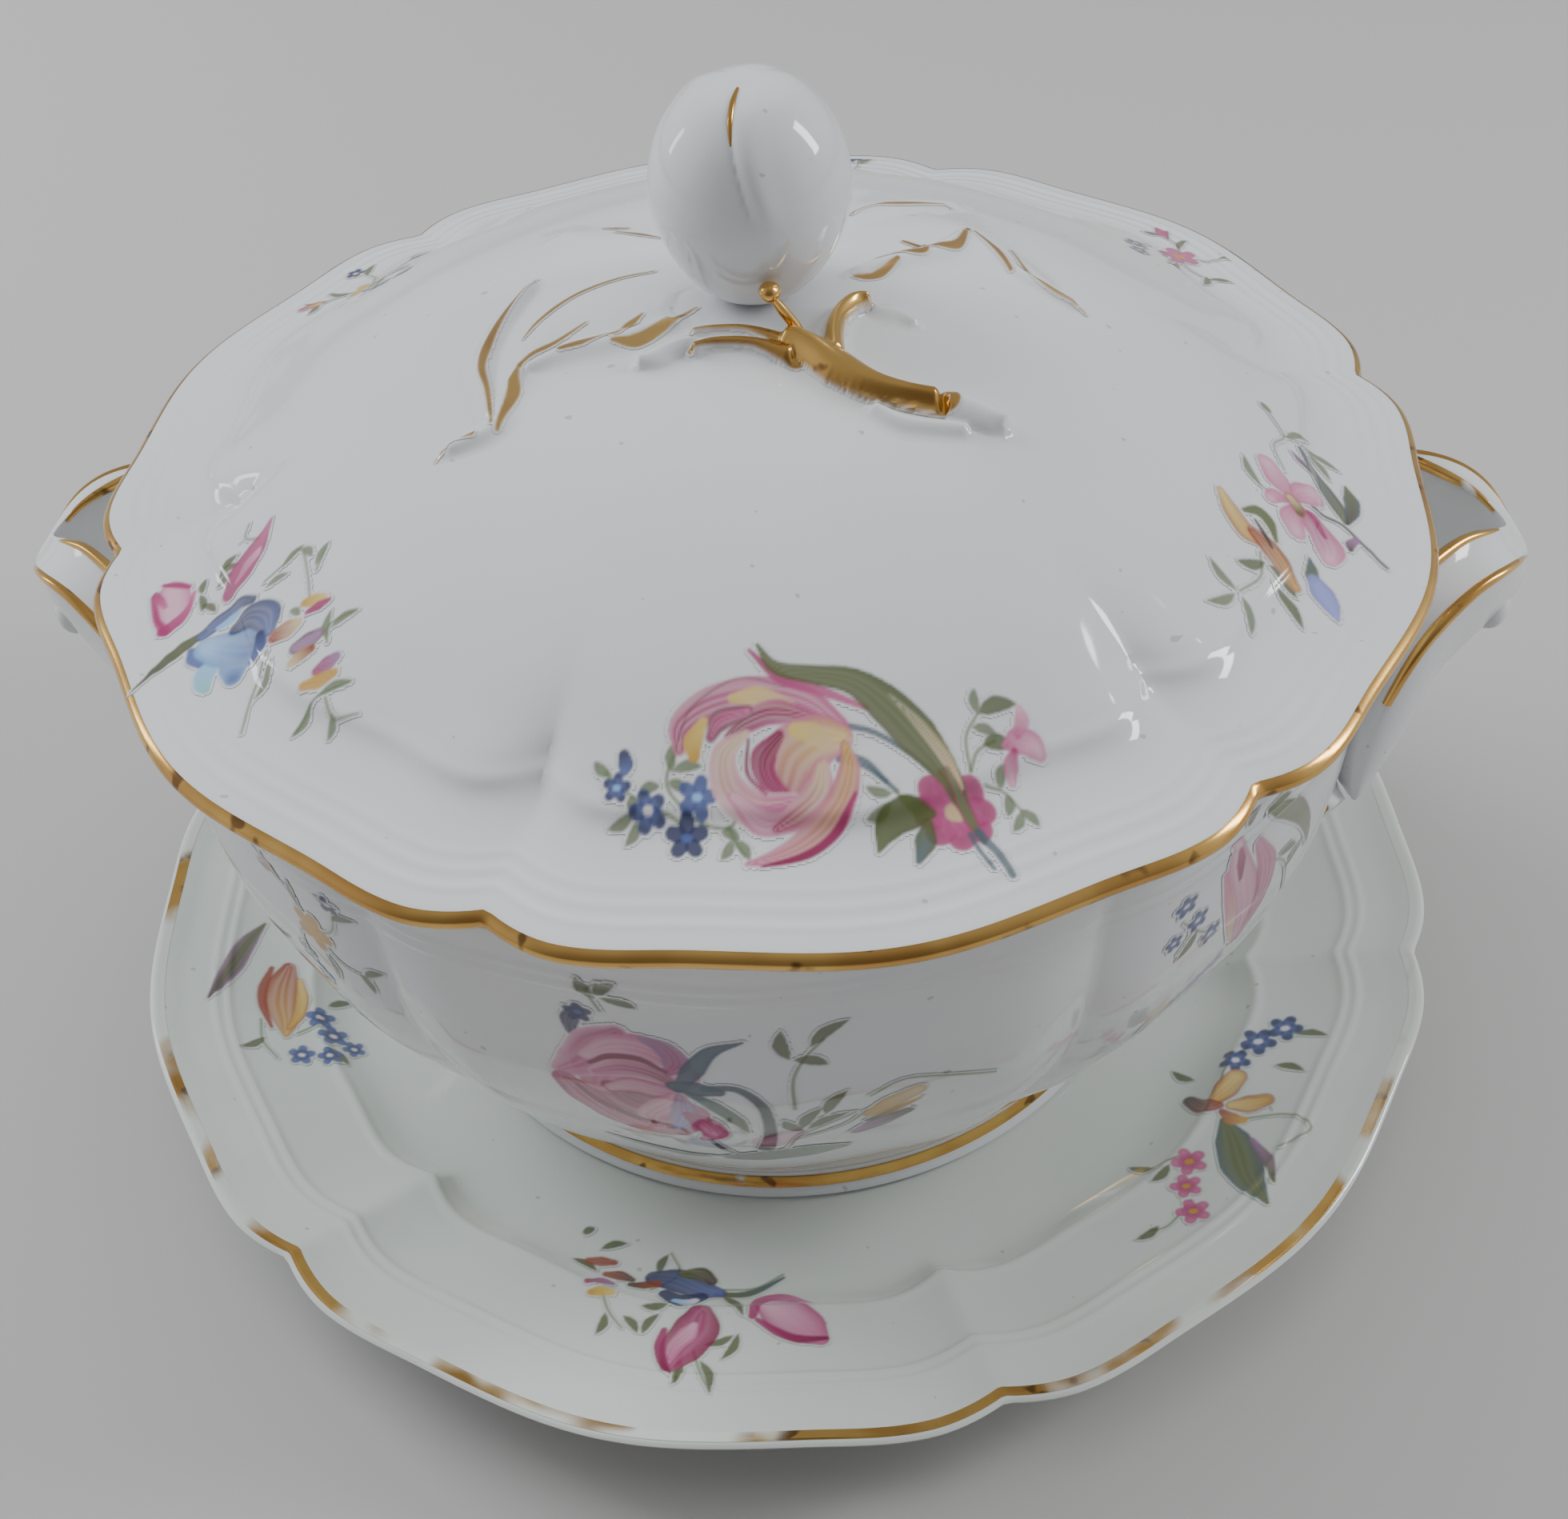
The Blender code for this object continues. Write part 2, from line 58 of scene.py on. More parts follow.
# ---- Glaze of the bowl and the lid --------------------------------------------------------------
# Hard white porcelain under a clear glossy glaze.  The glaze pools a little, so the shine wavers,
# and a few iron specks have burned through it in the kiln.
class Value:
    """A socket's value in a material; arithmetic on it adds the Math nodes."""

    def __init__(self, tree, socket=None):
        self.tree, self.socket = tree, socket

    def node(self, kind, settings=None, out=0, **sockets):
        made = self.tree.nodes.new(kind)
        for key, setting in (settings or {}).items():
            if key == "stops":
                for i, (at, colour) in enumerate(setting):
                    stop = made.color_ramp.elements[i] if i < 2 else made.color_ramp.elements.new(at)
                    stop.position, stop.color = at, colour
            else:
                setattr(made, key, setting)
        for key, value in sockets.items():
            socket = made.inputs[int(key[1:])] if key[0] == "i" and key[1:].isdigit() \
                else made.inputs[key.replace("_", " ")]
            if isinstance(value, Value):
                self.tree.links.new(value.socket, socket)
            else:
                socket.default_value = value
        return Value(self.tree, made.outputs[out])

    def maths(self, operation, first, second=0.0):
        return self.node("ShaderNodeMath", {"operation": operation}, i0=first, i1=second)

    def __add__(self, other):
        return self.maths("ADD", self, other)

    def __sub__(self, other):
        return self.maths("SUBTRACT", self, other)

    def __rsub__(self, other):
        return self.maths("SUBTRACT", other, self)

    def __mul__(self, other):
        return self.maths("MULTIPLY", self, other)

    __radd__, __rmul__ = __add__, __mul__

    def ramp(self, low, high):
        """0 below low, 1 above high, smooth between."""
        return self.node("ShaderNodeMapRange", {"interpolation_type": "SMOOTHSTEP"},
                         Value=self, From_Min=low, From_Max=high)

    def noise(self, scale, detail=2.0, roughness=0.5):
        place = self.node("ShaderNodeTexCoord", out=3)
        return self.node("ShaderNodeTexNoise", Vector=place, Scale=scale, Detail=detail,
                         Roughness=roughness)

    def blend(self, low, high):
        """A colour between low and high, by this value."""
        return self.node("ShaderNodeMix", {"data_type": "RGBA"}, out=2, i0=self, i6=low, i7=high)


def start_finish(name):
    material = bpy.data.materials.new(name)
    material.use_nodes = True
    shader = material.node_tree.nodes["Principled BSDF"]
    return material, shader, Value(material.node_tree)


def glaze_colour(pen, body, pooled):
    """Colour of a glazed wall: the body's, cooler where the glaze pools, with iron specks."""
    pool = pen.noise(18.0).ramp(0.35, 0.7)
    speck = pen.noise(420.0, 0.0).ramp(0.85, 0.87) * 0.35
    return speck.blend(pool.blend(body, pooled), (0.16, 0.13, 0.10, 1.0))


def finish_glaze(name, body, pooled, waver=0.10, painted=False):
    """A glazed wall; painted lays the enamel colours of the mesh's own attribute over it."""
    material, shader, pen = start_finish(name)
    glaze = glaze_colour(pen, body, pooled)
    if painted:
        cover = pen.node("ShaderNodeAttribute", {"attribute_name": "enamel"}, out=3)
        enamel = pen.node("ShaderNodeAttribute", {"attribute_name": "enamel"}, out=0)
        bare = cover.blend(glaze, (0.0, 0.0, 0.0, 1.0))
        glaze = pen.node("ShaderNodeVectorMath", {"operation": "ADD"}, i0=bare, i1=enamel)
    material.node_tree.links.new(glaze.socket, shader.inputs["Base Color"])
    dull = pen.noise(45.0, 3.0) * 0.05 + 0.05
    material.node_tree.links.new(dull.socket, shader.inputs["Roughness"])
    bump = pen.node("ShaderNodeBump", Strength=waver, Distance=0.001, Height=pen.noise(60.0, 1.0))
    material.node_tree.links.new(bump.socket, shader.inputs["Normal"])
    shader.inputs["Coat Weight"].default_value = 0.35
    shader.inputs["Coat Roughness"].default_value = 0.03
    return material


WHITE_BODY, WHITE_POOLED = (0.775, 0.785, 0.790, 1.0), (0.735, 0.755, 0.770, 1.0)
porcelain = finish_glaze("white_glaze", WHITE_BODY, WHITE_POOLED)


# ---- Underplate -----------------------------------------------------------------------------------
# A shallow six-lobed plate of the same porcelain, jiggered over a mould, with a greener glaze.  A
# moulded line runs inside its edge, and a ridge with a corner at each cusp bounds its well.
MM = 0.001


def smooth_line(knots, count):
    """Evenly spaced points along a smooth curve through the knots."""
    knots = np.array(knots, float)
    along = np.r_[0, np.cumsum(np.sqrt(np.linalg.norm(np.diff(knots[:, :2], axis=0), axis=1)))]
    slope = np.gradient(knots, along, axis=0)
    fine = np.linspace(0, along[-1], 60 * len(knots))
    i = np.clip(np.searchsorted(along, fine, side="right") - 1, 0, len(knots) - 2)
    gap = (along[i + 1] - along[i])[:, None]
    t = (fine - along[i])[:, None] / gap
    curve = ((1 + 2 * t) * (1 - t) ** 2 * knots[i] + t * (1 - t) ** 2 * gap * slope[i]
             + t * t * (3 - 2 * t) * knots[i + 1] + t * t * (t - 1) * gap * slope[i + 1])
    length = np.r_[0, np.cumsum(np.linalg.norm(np.diff(curve[:, :2], axis=0), axis=1))]
    even = np.linspace(0, length[-1], count)
    return np.column_stack([np.interp(even, length, column) for column in curve.T])


def off_cusp(angle, cusp):
    """Degrees from the nearest of the six cusps, a little rounded at the cusp itself."""
    off = np.abs((angle - cusp + 30.0) % 60.0 - 30.0)
    return np.sqrt(off ** 2 + 0.5) - 0.7071 * (1 - off / 30.0)


def scallop(angle, cusp):
    """The edge's wave: -1 in a cusp, a small lobe beside it, a dip, and +0.6 on the big lobe."""
    off = np.abs((angle - cusp + 30.0) % 60.0 - 30.0)
    rise = -1.0 + 1.4 * np.sin(np.pi / 2 * np.minimum(off, 6.5) / 6.5) ** 0.9
    dip = 0.13 + 0.27 * np.cos(np.pi * np.clip((off - 6.5) / 9.0, 0, 1))
    broad = 0.23 - 0.37 * np.cos(np.pi * np.clip((off - 15.5) / 14.5, 0, 1))
    return np.where(off < 6.5, rise, np.where(off < 15.5, dip, broad))


def crease(angle, cusp):
    """A V-shaped valley at each cusp, 0 between them."""
    return np.exp(-off_cusp(angle, cusp) / 6.0)


class Wall:
    """A wall turned about the axis from knots of (radius, height, lobe depth, crease depth), mm.

    A bead is (place along the line, height, width), in mm.  facing is -1 where the line runs up
    the outside, and 1 where it runs outwards along the top.
    """

    def __init__(self, knots, cusp, beads=(), facing=1):
        self.cusp, self.facing = cusp, facing
        self.line = smooth_line(knots, 1600)
        run = np.gradient(self.line[:, :2], axis=0)
        run /= np.linalg.norm(run, axis=1)[:, None]
        length = np.linalg.norm(np.diff(self.line[:, :2], axis=0), axis=1).sum()
        self.share = np.linspace(0, 1, len(self.line))
        for place, height, width in beads:
            swell = height * np.exp(-((self.share * length - place) / width) ** 2)
            self.line[:, 0] -= run[:, 1] * swell
            self.line[:, 1] += run[:, 0] * swell
        self.edge = self.line[:, 0].argmax()        # the line's widest point
        self.edge_share = self.share[self.edge]

    def at(self, share, angle):
        radius, height, lobe, valley = (np.interp(share, self.share, c) for c in self.line.T)
        radius = radius + lobe * scallop(angle, self.cusp) - valley * crease(angle, self.cusp)
        turn = np.radians(angle)
        return np.stack([radius * np.cos(turn), radius * np.sin(turn), height + 0 * turn], -1)

    def share_under(self, x, y):
        """Share along the line, up to its edge, and angle of a place in plan, in mm."""
        angle, reach = np.degrees(np.arctan2(y, x)), np.hypot(x, y)
        low, high = np.zeros_like(reach), np.full_like(reach, self.edge_share)
        for _ in range(22):
            middle = (low + high) / 2
            short = np.hypot(*np.moveaxis(self.at(middle, angle)[..., :2], -1, 0)) < reach
            low, high = np.where(short, middle, low), np.where(short, high, middle)
        return low, angle

    def lifted(self, share, angle, lift):
        """Points a little off the wall, along its normal."""
        step = 0.0004
        along = self.at(share + step, angle) - self.at(share - step, angle)
        around = self.at(share, angle + 0.05) - self.at(share, angle - 0.05)
        normal = np.cross(along, around)
        normal /= np.maximum(np.linalg.norm(normal, axis=-1, keepdims=True), 1e-9)
        return self.at(share, angle) + normal * lift * self.facing


def add_piece(name, points, faces, material, body, replaces=(), smooth=40.0):
    """A finished mesh: points in mm, shaded smooth except along its true edges."""
    mesh = bpy.data.meshes.new(name)
    mesh.from_pydata((np.asarray(points, float) * MM).tolist(), [], faces)
    piece = bpy.data.objects.new(name, mesh)
    bpy.context.scene.collection.objects.link(piece)
    mesh.materials.append(material)
    mesh.shade_smooth()
    mesh.set_sharp_from_angle(angle=math.radians(smooth))
    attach(piece, body)
    if replaces:
        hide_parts(*replaces)
    return piece


def grid_faces(rows, columns, closed):
    """Quads of a grid of points, row by row; closed joins the last column to the first."""
    last = columns if closed else columns - 1
    row, column = np.meshgrid(np.arange(rows - 1), np.arange(last), indexing="ij")
    here, beside = row * columns + column, row * columns + (column + 1) % columns
    return np.stack([here, beside, beside + columns, here + columns], -1).reshape(-1, 4)


def add_shell(name, rings, tips, material, body, replaces=(), smooth=40.0, rising=False):
    """A closed shell from rings of points, in mm, that ends in a fan to each of two tips.

    Rising rings go up the outside, so their faces wind the other way.
    """
    rows, columns = rings.shape[:2]
    faces = grid_faces(rows, columns, True)
    faces = (faces if rising else faces[:, ::-1]).tolist()
    tip, last = rows * columns, (rows - 1) * columns
    for i in range(columns):
        j = (i + 1) % columns
        a, b = (j, i) if rising else (i, j)
        faces += [[tip, a, b], [tip + 1, last + b, last + a]]
    flip_if_inside_out(add_piece(name, np.vstack([rings.reshape(-1, 3), tips]), faces, material, body,
                                 replaces, smooth))


def turn_piece(name, wall, stretches, material, body, replaces, segments=450):
    """The wall's whole solid; its line starts and ends on the axis.

    Each stretch of the line is (share at its start, share at its end, rows along it).
    """
    shares = np.unique(np.concatenate([np.linspace(*stretch) for stretch in stretches]))
    angle = np.arange(segments) * 360.0 / segments
    rings = wall.at(shares[1:-1, None], angle[None, :])
    tips = [(0, 0, wall.line[0, 1]), (0, 0, wall.line[-1, 1])]
    add_shell(name, rings, tips, material, body, replaces)


def flip_if_inside_out(piece):
    """Turn the faces of a closed piece round if they point inwards."""
    shell = bmesh.new()
    shell.from_mesh(piece.data)
    if shell.calc_volume(signed=True) < 0:
        bmesh.ops.reverse_faces(shell, faces=shell.faces)
        shell.to_mesh(piece.data)
    shell.free()


def ring_piece(name, outline, material, body, replaces=(), segments=240):
    """A plain ring turned from a closed outline of (radius, height), mm."""
    turn = np.radians(np.arange(segments) * 360.0 / segments)
    outline = np.array(outline, float)
    points = np.stack([outline[:, :1] * np.cos(turn), outline[:, :1] * np.sin(turn),
                       outline[:, 1:] + 0 * turn], -1)
    count = len(outline)
    faces = grid_faces(count, segments, True).tolist()
    last = (count - 1) * segments
    faces += [[last + i, last + (i + 1) % segments, (i + 1) % segments, i] for i in range(segments)]
    flip_if_inside_out(add_piece(name, points.reshape(-1, 3), faces, material, body, replaces))


PLATE_CUSP = 49.0       # degrees, of one of the six cusps
PLATE_BODY, PLATE_POOLED = (0.715, 0.755, 0.705, 1.0), (0.655, 0.705, 0.655, 1.0)
plate_glaze = finish_glaze("green_white_glaze", PLATE_BODY, PLATE_POOLED)
plate_wall = Wall([
    (0, 8.0, 0, 0), (40, 8.0, 0, 0), (80, 8.0, 0, 0), (91, 8.15, 0.1, 0), (97, 8.9, 0.5, 0.1),
    (101.5, 10.4, 1.2, 0.4), (105, 12.7, 1.9, 0.9), (107.2, 14.3, 2.2, 1.0), (109.5, 15.0, 2.1, 0.8),
    (115, 16.7, 2.0, 0.4), (121, 19.0, 2.0, 0.3), (124.5, 20.5, 2.0, 0.3), (128, 21.6, 2.0, 0.3),
    (133, 23.0, 2.0, 0.3), (137.2, 24.7, 2.0, 0.2), (139.1, 25.2, 2.0, 0.2), (140.0, 24.5, 2.0, 0.2),
    (139.3, 23.3, 2.0, 0.2), (136, 21.4, 2.0, 0.2), (127, 17.8, 2.0, 0.2), (115, 13.0, 1.8, 0.2),
    (106, 8.6, 1.0, 0.1), (98, 5.0, 0.4, 0), (92, 3.9, 0, 0), (86, 3.8, 0, 0), (50, 3.8, 0, 0),
    (0, 3.8, 0, 0),
], PLATE_CUSP, beads=[(108.6, 0.35, 1.1), (127.0, 0.45, 0.8), (129.6, 0.4, 0.8)])
turn_piece("underplate_body", plate_wall,
           [(0, 0.28, 12), (0.28, 0.53, 110), (0.53, 0.75, 26), (0.75, 1, 10)],
           plate_glaze, "plate", ["underplate"], segments=480)
ring_piece("underplate_foot", [(83.4, 0.5), (84.0, 0.05), (86.8, 0.0), (87.6, 0.4), (88.0, 2.0),
                               (88.6, 3.6), (89.2, 4.3), (82.2, 4.3), (83.0, 3.0)],
           plate_glaze, "plate", ["underplate_foot_ring"])

# ---- Gilding on the plate's edge -------------------------------------------------------------------
# A brushed line of bright gold on the lobed edge.  Years of washing have worn it through in
# patches, and it thins out softly beside them.
GOLD, GOLD_DEEP, BROWN = (0.80, 0.49, 0.14, 1.0), (0.62, 0.34, 0.09, 1.0), (0.14, 0.06, 0.025, 1.0)


def finish_gilding(name, worn, under, scale=75.0, tarnish=0.62, brushed=False, fade=0.05):
    """Bright gold, browned in spots, and worn off where a coarse noise is below worn.

    A brushed gilding also keeps to the strokes in the mesh's own attribute, and fade is how softly
    the gold thins out beside a worn patch.
    """
    material, shader, pen = start_finish(name)
    left = pen.noise(scale, 2.0).ramp(worn, worn + fade)
    if brushed:
        left = left * pen.node("ShaderNodeAttribute", {"attribute_name": "enamel"}, out=3)
    spots = pen.noise(150.0, 2.0).ramp(tarnish, tarnish + 0.06) * 0.8
    metal = spots.blend(pen.noise(60.0).ramp(0.35, 0.65).blend(GOLD, GOLD_DEEP), BROWN)
    for socket, value in (("Base Color", left.blend(under, metal)), ("Metallic", left * 0.97),
                          ("Roughness", left * 0.13 + 0.07)):
        material.node_tree.links.new(value.socket, shader.inputs[socket])
    shader.inputs["Coat Weight"].default_value = 0.2
    return material


def add_film(name, wall, share_range, rows, columns, lift, material, body):
    """A thin skin over a wall, all the way round."""
    angle = np.linspace(0, 360, columns, endpoint=False)
    share = np.linspace(*share_range, rows)[:, None] + 0 * angle
    points = wall.lifted(share, angle + 0 * share, lift)
    faces = grid_faces(rows, columns, True)[:, ::-1].tolist()
    add_piece(name, points.reshape(-1, 3), faces, material, body)


plate_gold = finish_gilding("plate_gilding", 0.45, PLATE_BODY, 42.0, fade=0.12)
PLATE_GOLD_RADII = (136.9, 139.0)
gold_shares = np.interp(PLATE_GOLD_RADII, plate_wall.line[:plate_wall.edge, 0],
                        plate_wall.share[:plate_wall.edge])
add_film("underplate_gilding", plate_wall, gold_shares, 8, 900, 0.06, plate_gold, "plate")

# ---- Bowl -----------------------------------------------------------------------------------------
# The tureen's body, slip-cast in six bulging panels with a crease between them, a moulded line
# under the rim, and a turned foot that has a gold line over a bare white edge.
BOWL_CUSP = 0.0
bowl_wall = Wall([
    (0, 15.2, 0, 0), (50, 15.2, 0, 0), (74, 14.6, 0, 0), (77.0, 14.9, 0.1, 0), (78.5, 17.5, 0.3, 0.3),
    (80.6, 21, 0.6, 1.0), (84.8, 28, 0.9, 1.9), (91, 38, 1.3, 2.4), (97.2, 48, 1.4, 2.3),
    (103.4, 60, 1.4, 1.9), (108.8, 72, 1.3, 1.4), (112.6, 85, 1.2, 0.8), (114.2, 97, 1.1, 0.4),
    (114.7, 106, 1.0, 0.2), (114.9, 112, 1.0, 0.1), (115.3, 117, 1.0, 0), (116.0, 124, 1.0, 0),
    (116.9, 128.8, 1.0, 0), (116.7, 130.0, 1.0, 0), (115.0, 130.4, 1.0, 0), (113.2, 129.6, 1.0, 0),
    (112.4, 126, 1.0, 0), (111.2, 112, 1.0, 0), (110.2, 97, 1.0, 0), (108.6, 85, 1.0, 0.3),
    (104.8, 72, 1.0, 0.6), (99.2, 60, 0.9, 0.8), (92.8, 48, 0.8, 0.8), (86.2, 37, 0.6, 0.7),
    (79.0, 27, 0.4, 0.4), (71, 20.4, 0, 0), (62, 18.8, 0, 0), (0, 18.8, 0, 0),
], BOWL_CUSP, beads=[(192.5, -0.35, 0.7), (189.3, -0.3, 0.8)], facing=-1)
turn_piece("bowl", bowl_wall, [(0, 0.17, 12), (0.17, 0.53, 150), (0.53, 1, 50)], porcelain, "bowl",
           ["bowl_body"])
ring_piece("bowl_foot_ring", [(72.0, 8.6), (73.0, 8.25), (77.6, 8.25), (78.7, 8.5), (79.2, 9.3),
                              (78.9, 10.6), (78.0, 11.3), (77.4, 12.2), (77.0, 13.6), (77.4, 15.4),
                              (76.0, 16.6), (70.0, 16.0), (70.5, 10.0)],
           porcelain, "bowl", ["bowl_foot"])
foot_gold = finish_gilding("foot_gilding", 0.28, WHITE_BODY)
ring_piece("bowl_foot_gilding", [(77.95, 11.2), (78.35, 11.35), (77.75, 12.2), (77.35, 13.4),
                                 (77.1, 13.5), (77.3, 12.2)],
           foot_gold, "bowl")


# ---- Handles --------------------------------------------------------------------------------------
# Two arms of strap-like porcelain spring from each side of the bowl, meet at the tip and curl
# under in a scroll.  They are cast apart and stuck on with slip; a pointed leaf ends each root.
INNER_RIDGE = [(110, 26, 119), (116.5, 22.5, 121.5), (121.5, 17.3, 122.8), (129, 10.3, 123.2),
               (135.4, 5.6, 121.5), (140.5, 0, 118.2)]
OUTER_RIDGE = [(111, 34, 86), (115.5, 31.5, 102), (121, 27.8, 113.7), (129.6, 21, 119.5),
               (138.8, 12.6, 119.2), (145.8, 0, 112.0)]
LOWER_RIDGE = [(111.5, 36, 77), (116.5, 32.5, 84), (121.6, 27.5, 90.5), (126, 21, 96.8),
               (135, 12, 100.0), (147.0, 0, 102.6)]
UNDER_RIDGE = [(107, 28, 80), (113, 24, 86), (118.3, 19, 91.5), (122.3, 13.5, 97.2),
               (129.6, 7, 99.2), (138.3, 0, 97.2)]
ARM_STEPS = 13          # sections along an arm
LEAF_SPREAD = 113.0     # mm, the bowl's radius at the root leaves


def smooth_rail(knots, count):
    """Points along a smooth curve through the knots, with as many between each pair."""
    knots = np.array(knots, float)
    slope = np.gradient(knots, axis=0)
    place = np.linspace(0, len(knots) - 1, count)
    i = np.minimum(place.astype(int), len(knots) - 2)
    t = (place - i)[:, None]
    return ((1 + 2 * t) * (1 - t) ** 2 * knots[i] + t * (1 - t) ** 2 * slope[i]
            + t * t * (3 - 2 * t) * knots[i + 1] + t * t * (t - 1) * slope[i + 1])


def build_arms():
    """The cage of both arms: sections of four soft corners with hollow or full faces between."""
    ridges = (INNER_RIDGE, OUTER_RIDGE, LOWER_RIDGE, UNDER_RIDGE)
    rails = [smooth_rail(ridge, ARM_STEPS) for ridge in ridges]
    bulges = (-0.9, 0.9, 0.3, -0.9)         # mm; the top and the inner face are hollow, the outer full
    sections = []
    for i in range(ARM_STEPS):
        corners = np.array([rail[i] for rail in rails])
        middle = corners.mean(axis=0)
        loop = []
        for k in range(4):
            a, b = corners[k], corners[(k + 1) % 4]
            out = (a + b) / 2 - middle
            out /= np.linalg.norm(out)
            for share in (0.04, 0.16, 0.5, 0.84, 0.96):
                loop.append(a + (b - a) * share + out * bulges[k] * 4 * share * (1 - share))
        sections.append(loop)
    near = np.array(sections)
    return np.concatenate([near, near[:-1][::-1] * (1, -1, 1)])


def add_bar(name, rings, material, body, replaces=()):
    """A closed smooth bar from rings of points, in mm, with a flat face at each end."""
    rows, columns = rings.shape[:2]
    faces = grid_faces(rows, columns, True).tolist()
    faces += [list(range(columns))[::-1], list(range((rows - 1) * columns, rows * columns))]
    piece = add_piece(name, rings.reshape(-1, 3), faces, material, body, replaces, smooth=180)
    flip_if_inside_out(piece)
    return piece


def add_handle(name, side):
    """Both arms as one strap, rounded over the cage."""
    strap = add_bar("handle_strap_" + name, build_arms() * (side, 1, 1), porcelain, "bowl",
                    ["handle_" + name])
    rounding = strap.modifiers.new("rounding", "SUBSURF")
    rounding.levels = rounding.render_levels = 2


def add_scroll(name, side):
    """The rolled end under the tip, turned about a line across the handle."""
    half_width, radius, axis_x, axis_z = 8.2, 4.0, 140.4, 101.8
    turn = np.linspace(0, 2 * np.pi, 28, endpoint=False)
    y = np.linspace(-half_width, half_width, 15)[:, None] + 0 * turn
    size = radius * (1 - (np.abs(y) / 8.6) ** 4) ** 0.5 * (1 - 0.12 * np.cos(turn * 2))
    rings = np.stack([axis_x - 0.02 * y * y + size * np.cos(turn), y,
                      axis_z - 0.01 * y * y + size * np.sin(turn)], -1)
    add_bar("handle_scroll_" + name, rings * (side, 1, 1), porcelain, "bowl")


BOTTOM_ROWS = 600       # of the bowl's line, which hold its lowest point
low_row, rim_row = bowl_wall.line[:BOTTOM_ROWS, 1].argmin(), bowl_wall.line[:, 1].argmax()


def bowl_share(height):
    """Share along the bowl's line of a height on its outside."""
    return np.interp(height, bowl_wall.line[low_row:rim_row, 1], bowl_wall.share[low_row:rim_row])


def add_root_leaf(name, middle):
    """A pointed leaf on the bowl's wall under a root, with a rib and a cut upper end.

    The result is a line just inside each of its long edges.
    """
    rows, columns = 40, 25
    down = np.linspace(0, 1, rows)[:, None]
    side = np.linspace(-1, 1, columns)[None, :]
    width = 5.2 * (1 - down ** 1.6) + 0.25
    top, length = 83.5, 25.0
    height = top - length * down + 0 * side
    angle = middle + np.degrees(side * width / LEAF_SPREAD)
    proud = (5.2 * (1 - down) ** 0.8 * (1 - 0.45 * np.abs(side)) * (1 - np.abs(side) ** 6)
             + 0.5 * np.exp(-(side / 0.15) ** 2) * (1 - down))
    proud = np.where(down < 0.04, -0.3, proud * np.minimum(1, (down - 0.02) / 0.10)) - 0.05
    points = bowl_wall.lifted(bowl_share(height), angle, proud[..., None])
    add_piece("root_leaf_" + name, points.reshape(-1, 3),
              grid_faces(rows, columns, False)[:, ::-1].tolist(), porcelain, "bowl",
              ["handle_leaf_" + name], smooth=70)
    return [bowl_wall.lifted(bowl_share(height[:, c]), angle[:, c], proud[:, c, None] + 0.15)[2:-3]
            for c in (2, columns - 3)]


ROOT_LEAF_ANGLES = {"front_right": -17.3, "rear_right": 17.3, "front_left": 197.3, "rear_left": 162.7}
for name, side in (("right", 1), ("left", -1)):
    add_handle(name, side)
    add_scroll(name, side)
leaf_edges = []
for name, angle in ROOT_LEAF_ANGLES.items():
    leaf_edges += add_root_leaf(name, angle)

# ---- Gilded lines on the handles ---------------------------------------------------------------------
# Gold brushed along the ridges of each arm and the edges of its root leaf.  One tree of nodes
# makes every line: it sweeps a small round section along the ridge that it follows.
def gilded_line_tree():
    """Nodes that sweep a circle along a mesh's edges, as thick as its own attribute says."""
    tree = bpy.data.node_groups.new("gilded line", "GeometryNodeTree")
    for name, kind, direction in (("Geometry", "NodeSocketGeometry", "INPUT"),
                                  ("Thickness", "NodeSocketFloat", "INPUT"),
                                  ("Sides", "NodeSocketInt", "INPUT"),
                                  ("Finish", "NodeSocketMaterial", "INPUT"),
                                  ("Geometry", "NodeSocketGeometry", "OUTPUT")):
        tree.interface.new_socket(name, in_out=direction, socket_type=kind)
    given, path, section, taper, sweep, shade, realize, finish, result = (
        tree.nodes.new(kind) for kind in (
            "NodeGroupInput", "GeometryNodeMeshToCurve", "GeometryNodeCurvePrimitiveCircle",
            "GeometryNodeInputNamedAttribute", "GeometryNodeCurveToMesh", "GeometryNodeSetShadeSmooth",
            "GeometryNodeRealizeInstances", "GeometryNodeSetMaterial", "NodeGroupOutput"))
    taper.data_type = "FLOAT"
    taper.inputs["Name"].default_value = "taper"
    sweep.inputs["Fill Caps"].default_value = True
    for start, output, end, socket in (
            (given, "Geometry", path, "Mesh"), (path, "Curve", sweep, "Curve"),
            (given, "Thickness", section, "Radius"), (given, "Sides", section, "Resolution"),
            (section, "Curve", sweep, "Profile Curve"), (taper, "Attribute", sweep, "Scale"),
            (sweep, "Mesh", shade, "Geometry"), (shade, "Geometry", realize, "Geometry"),
            (realize, "Geometry", finish, "Geometry"), (given, "Finish", finish, "Material"),
            (finish, "Geometry", result, "Geometry")):
        tree.links.new(start.outputs[output], end.inputs[socket])
    return tree


gilded_lines = gilded_line_tree()


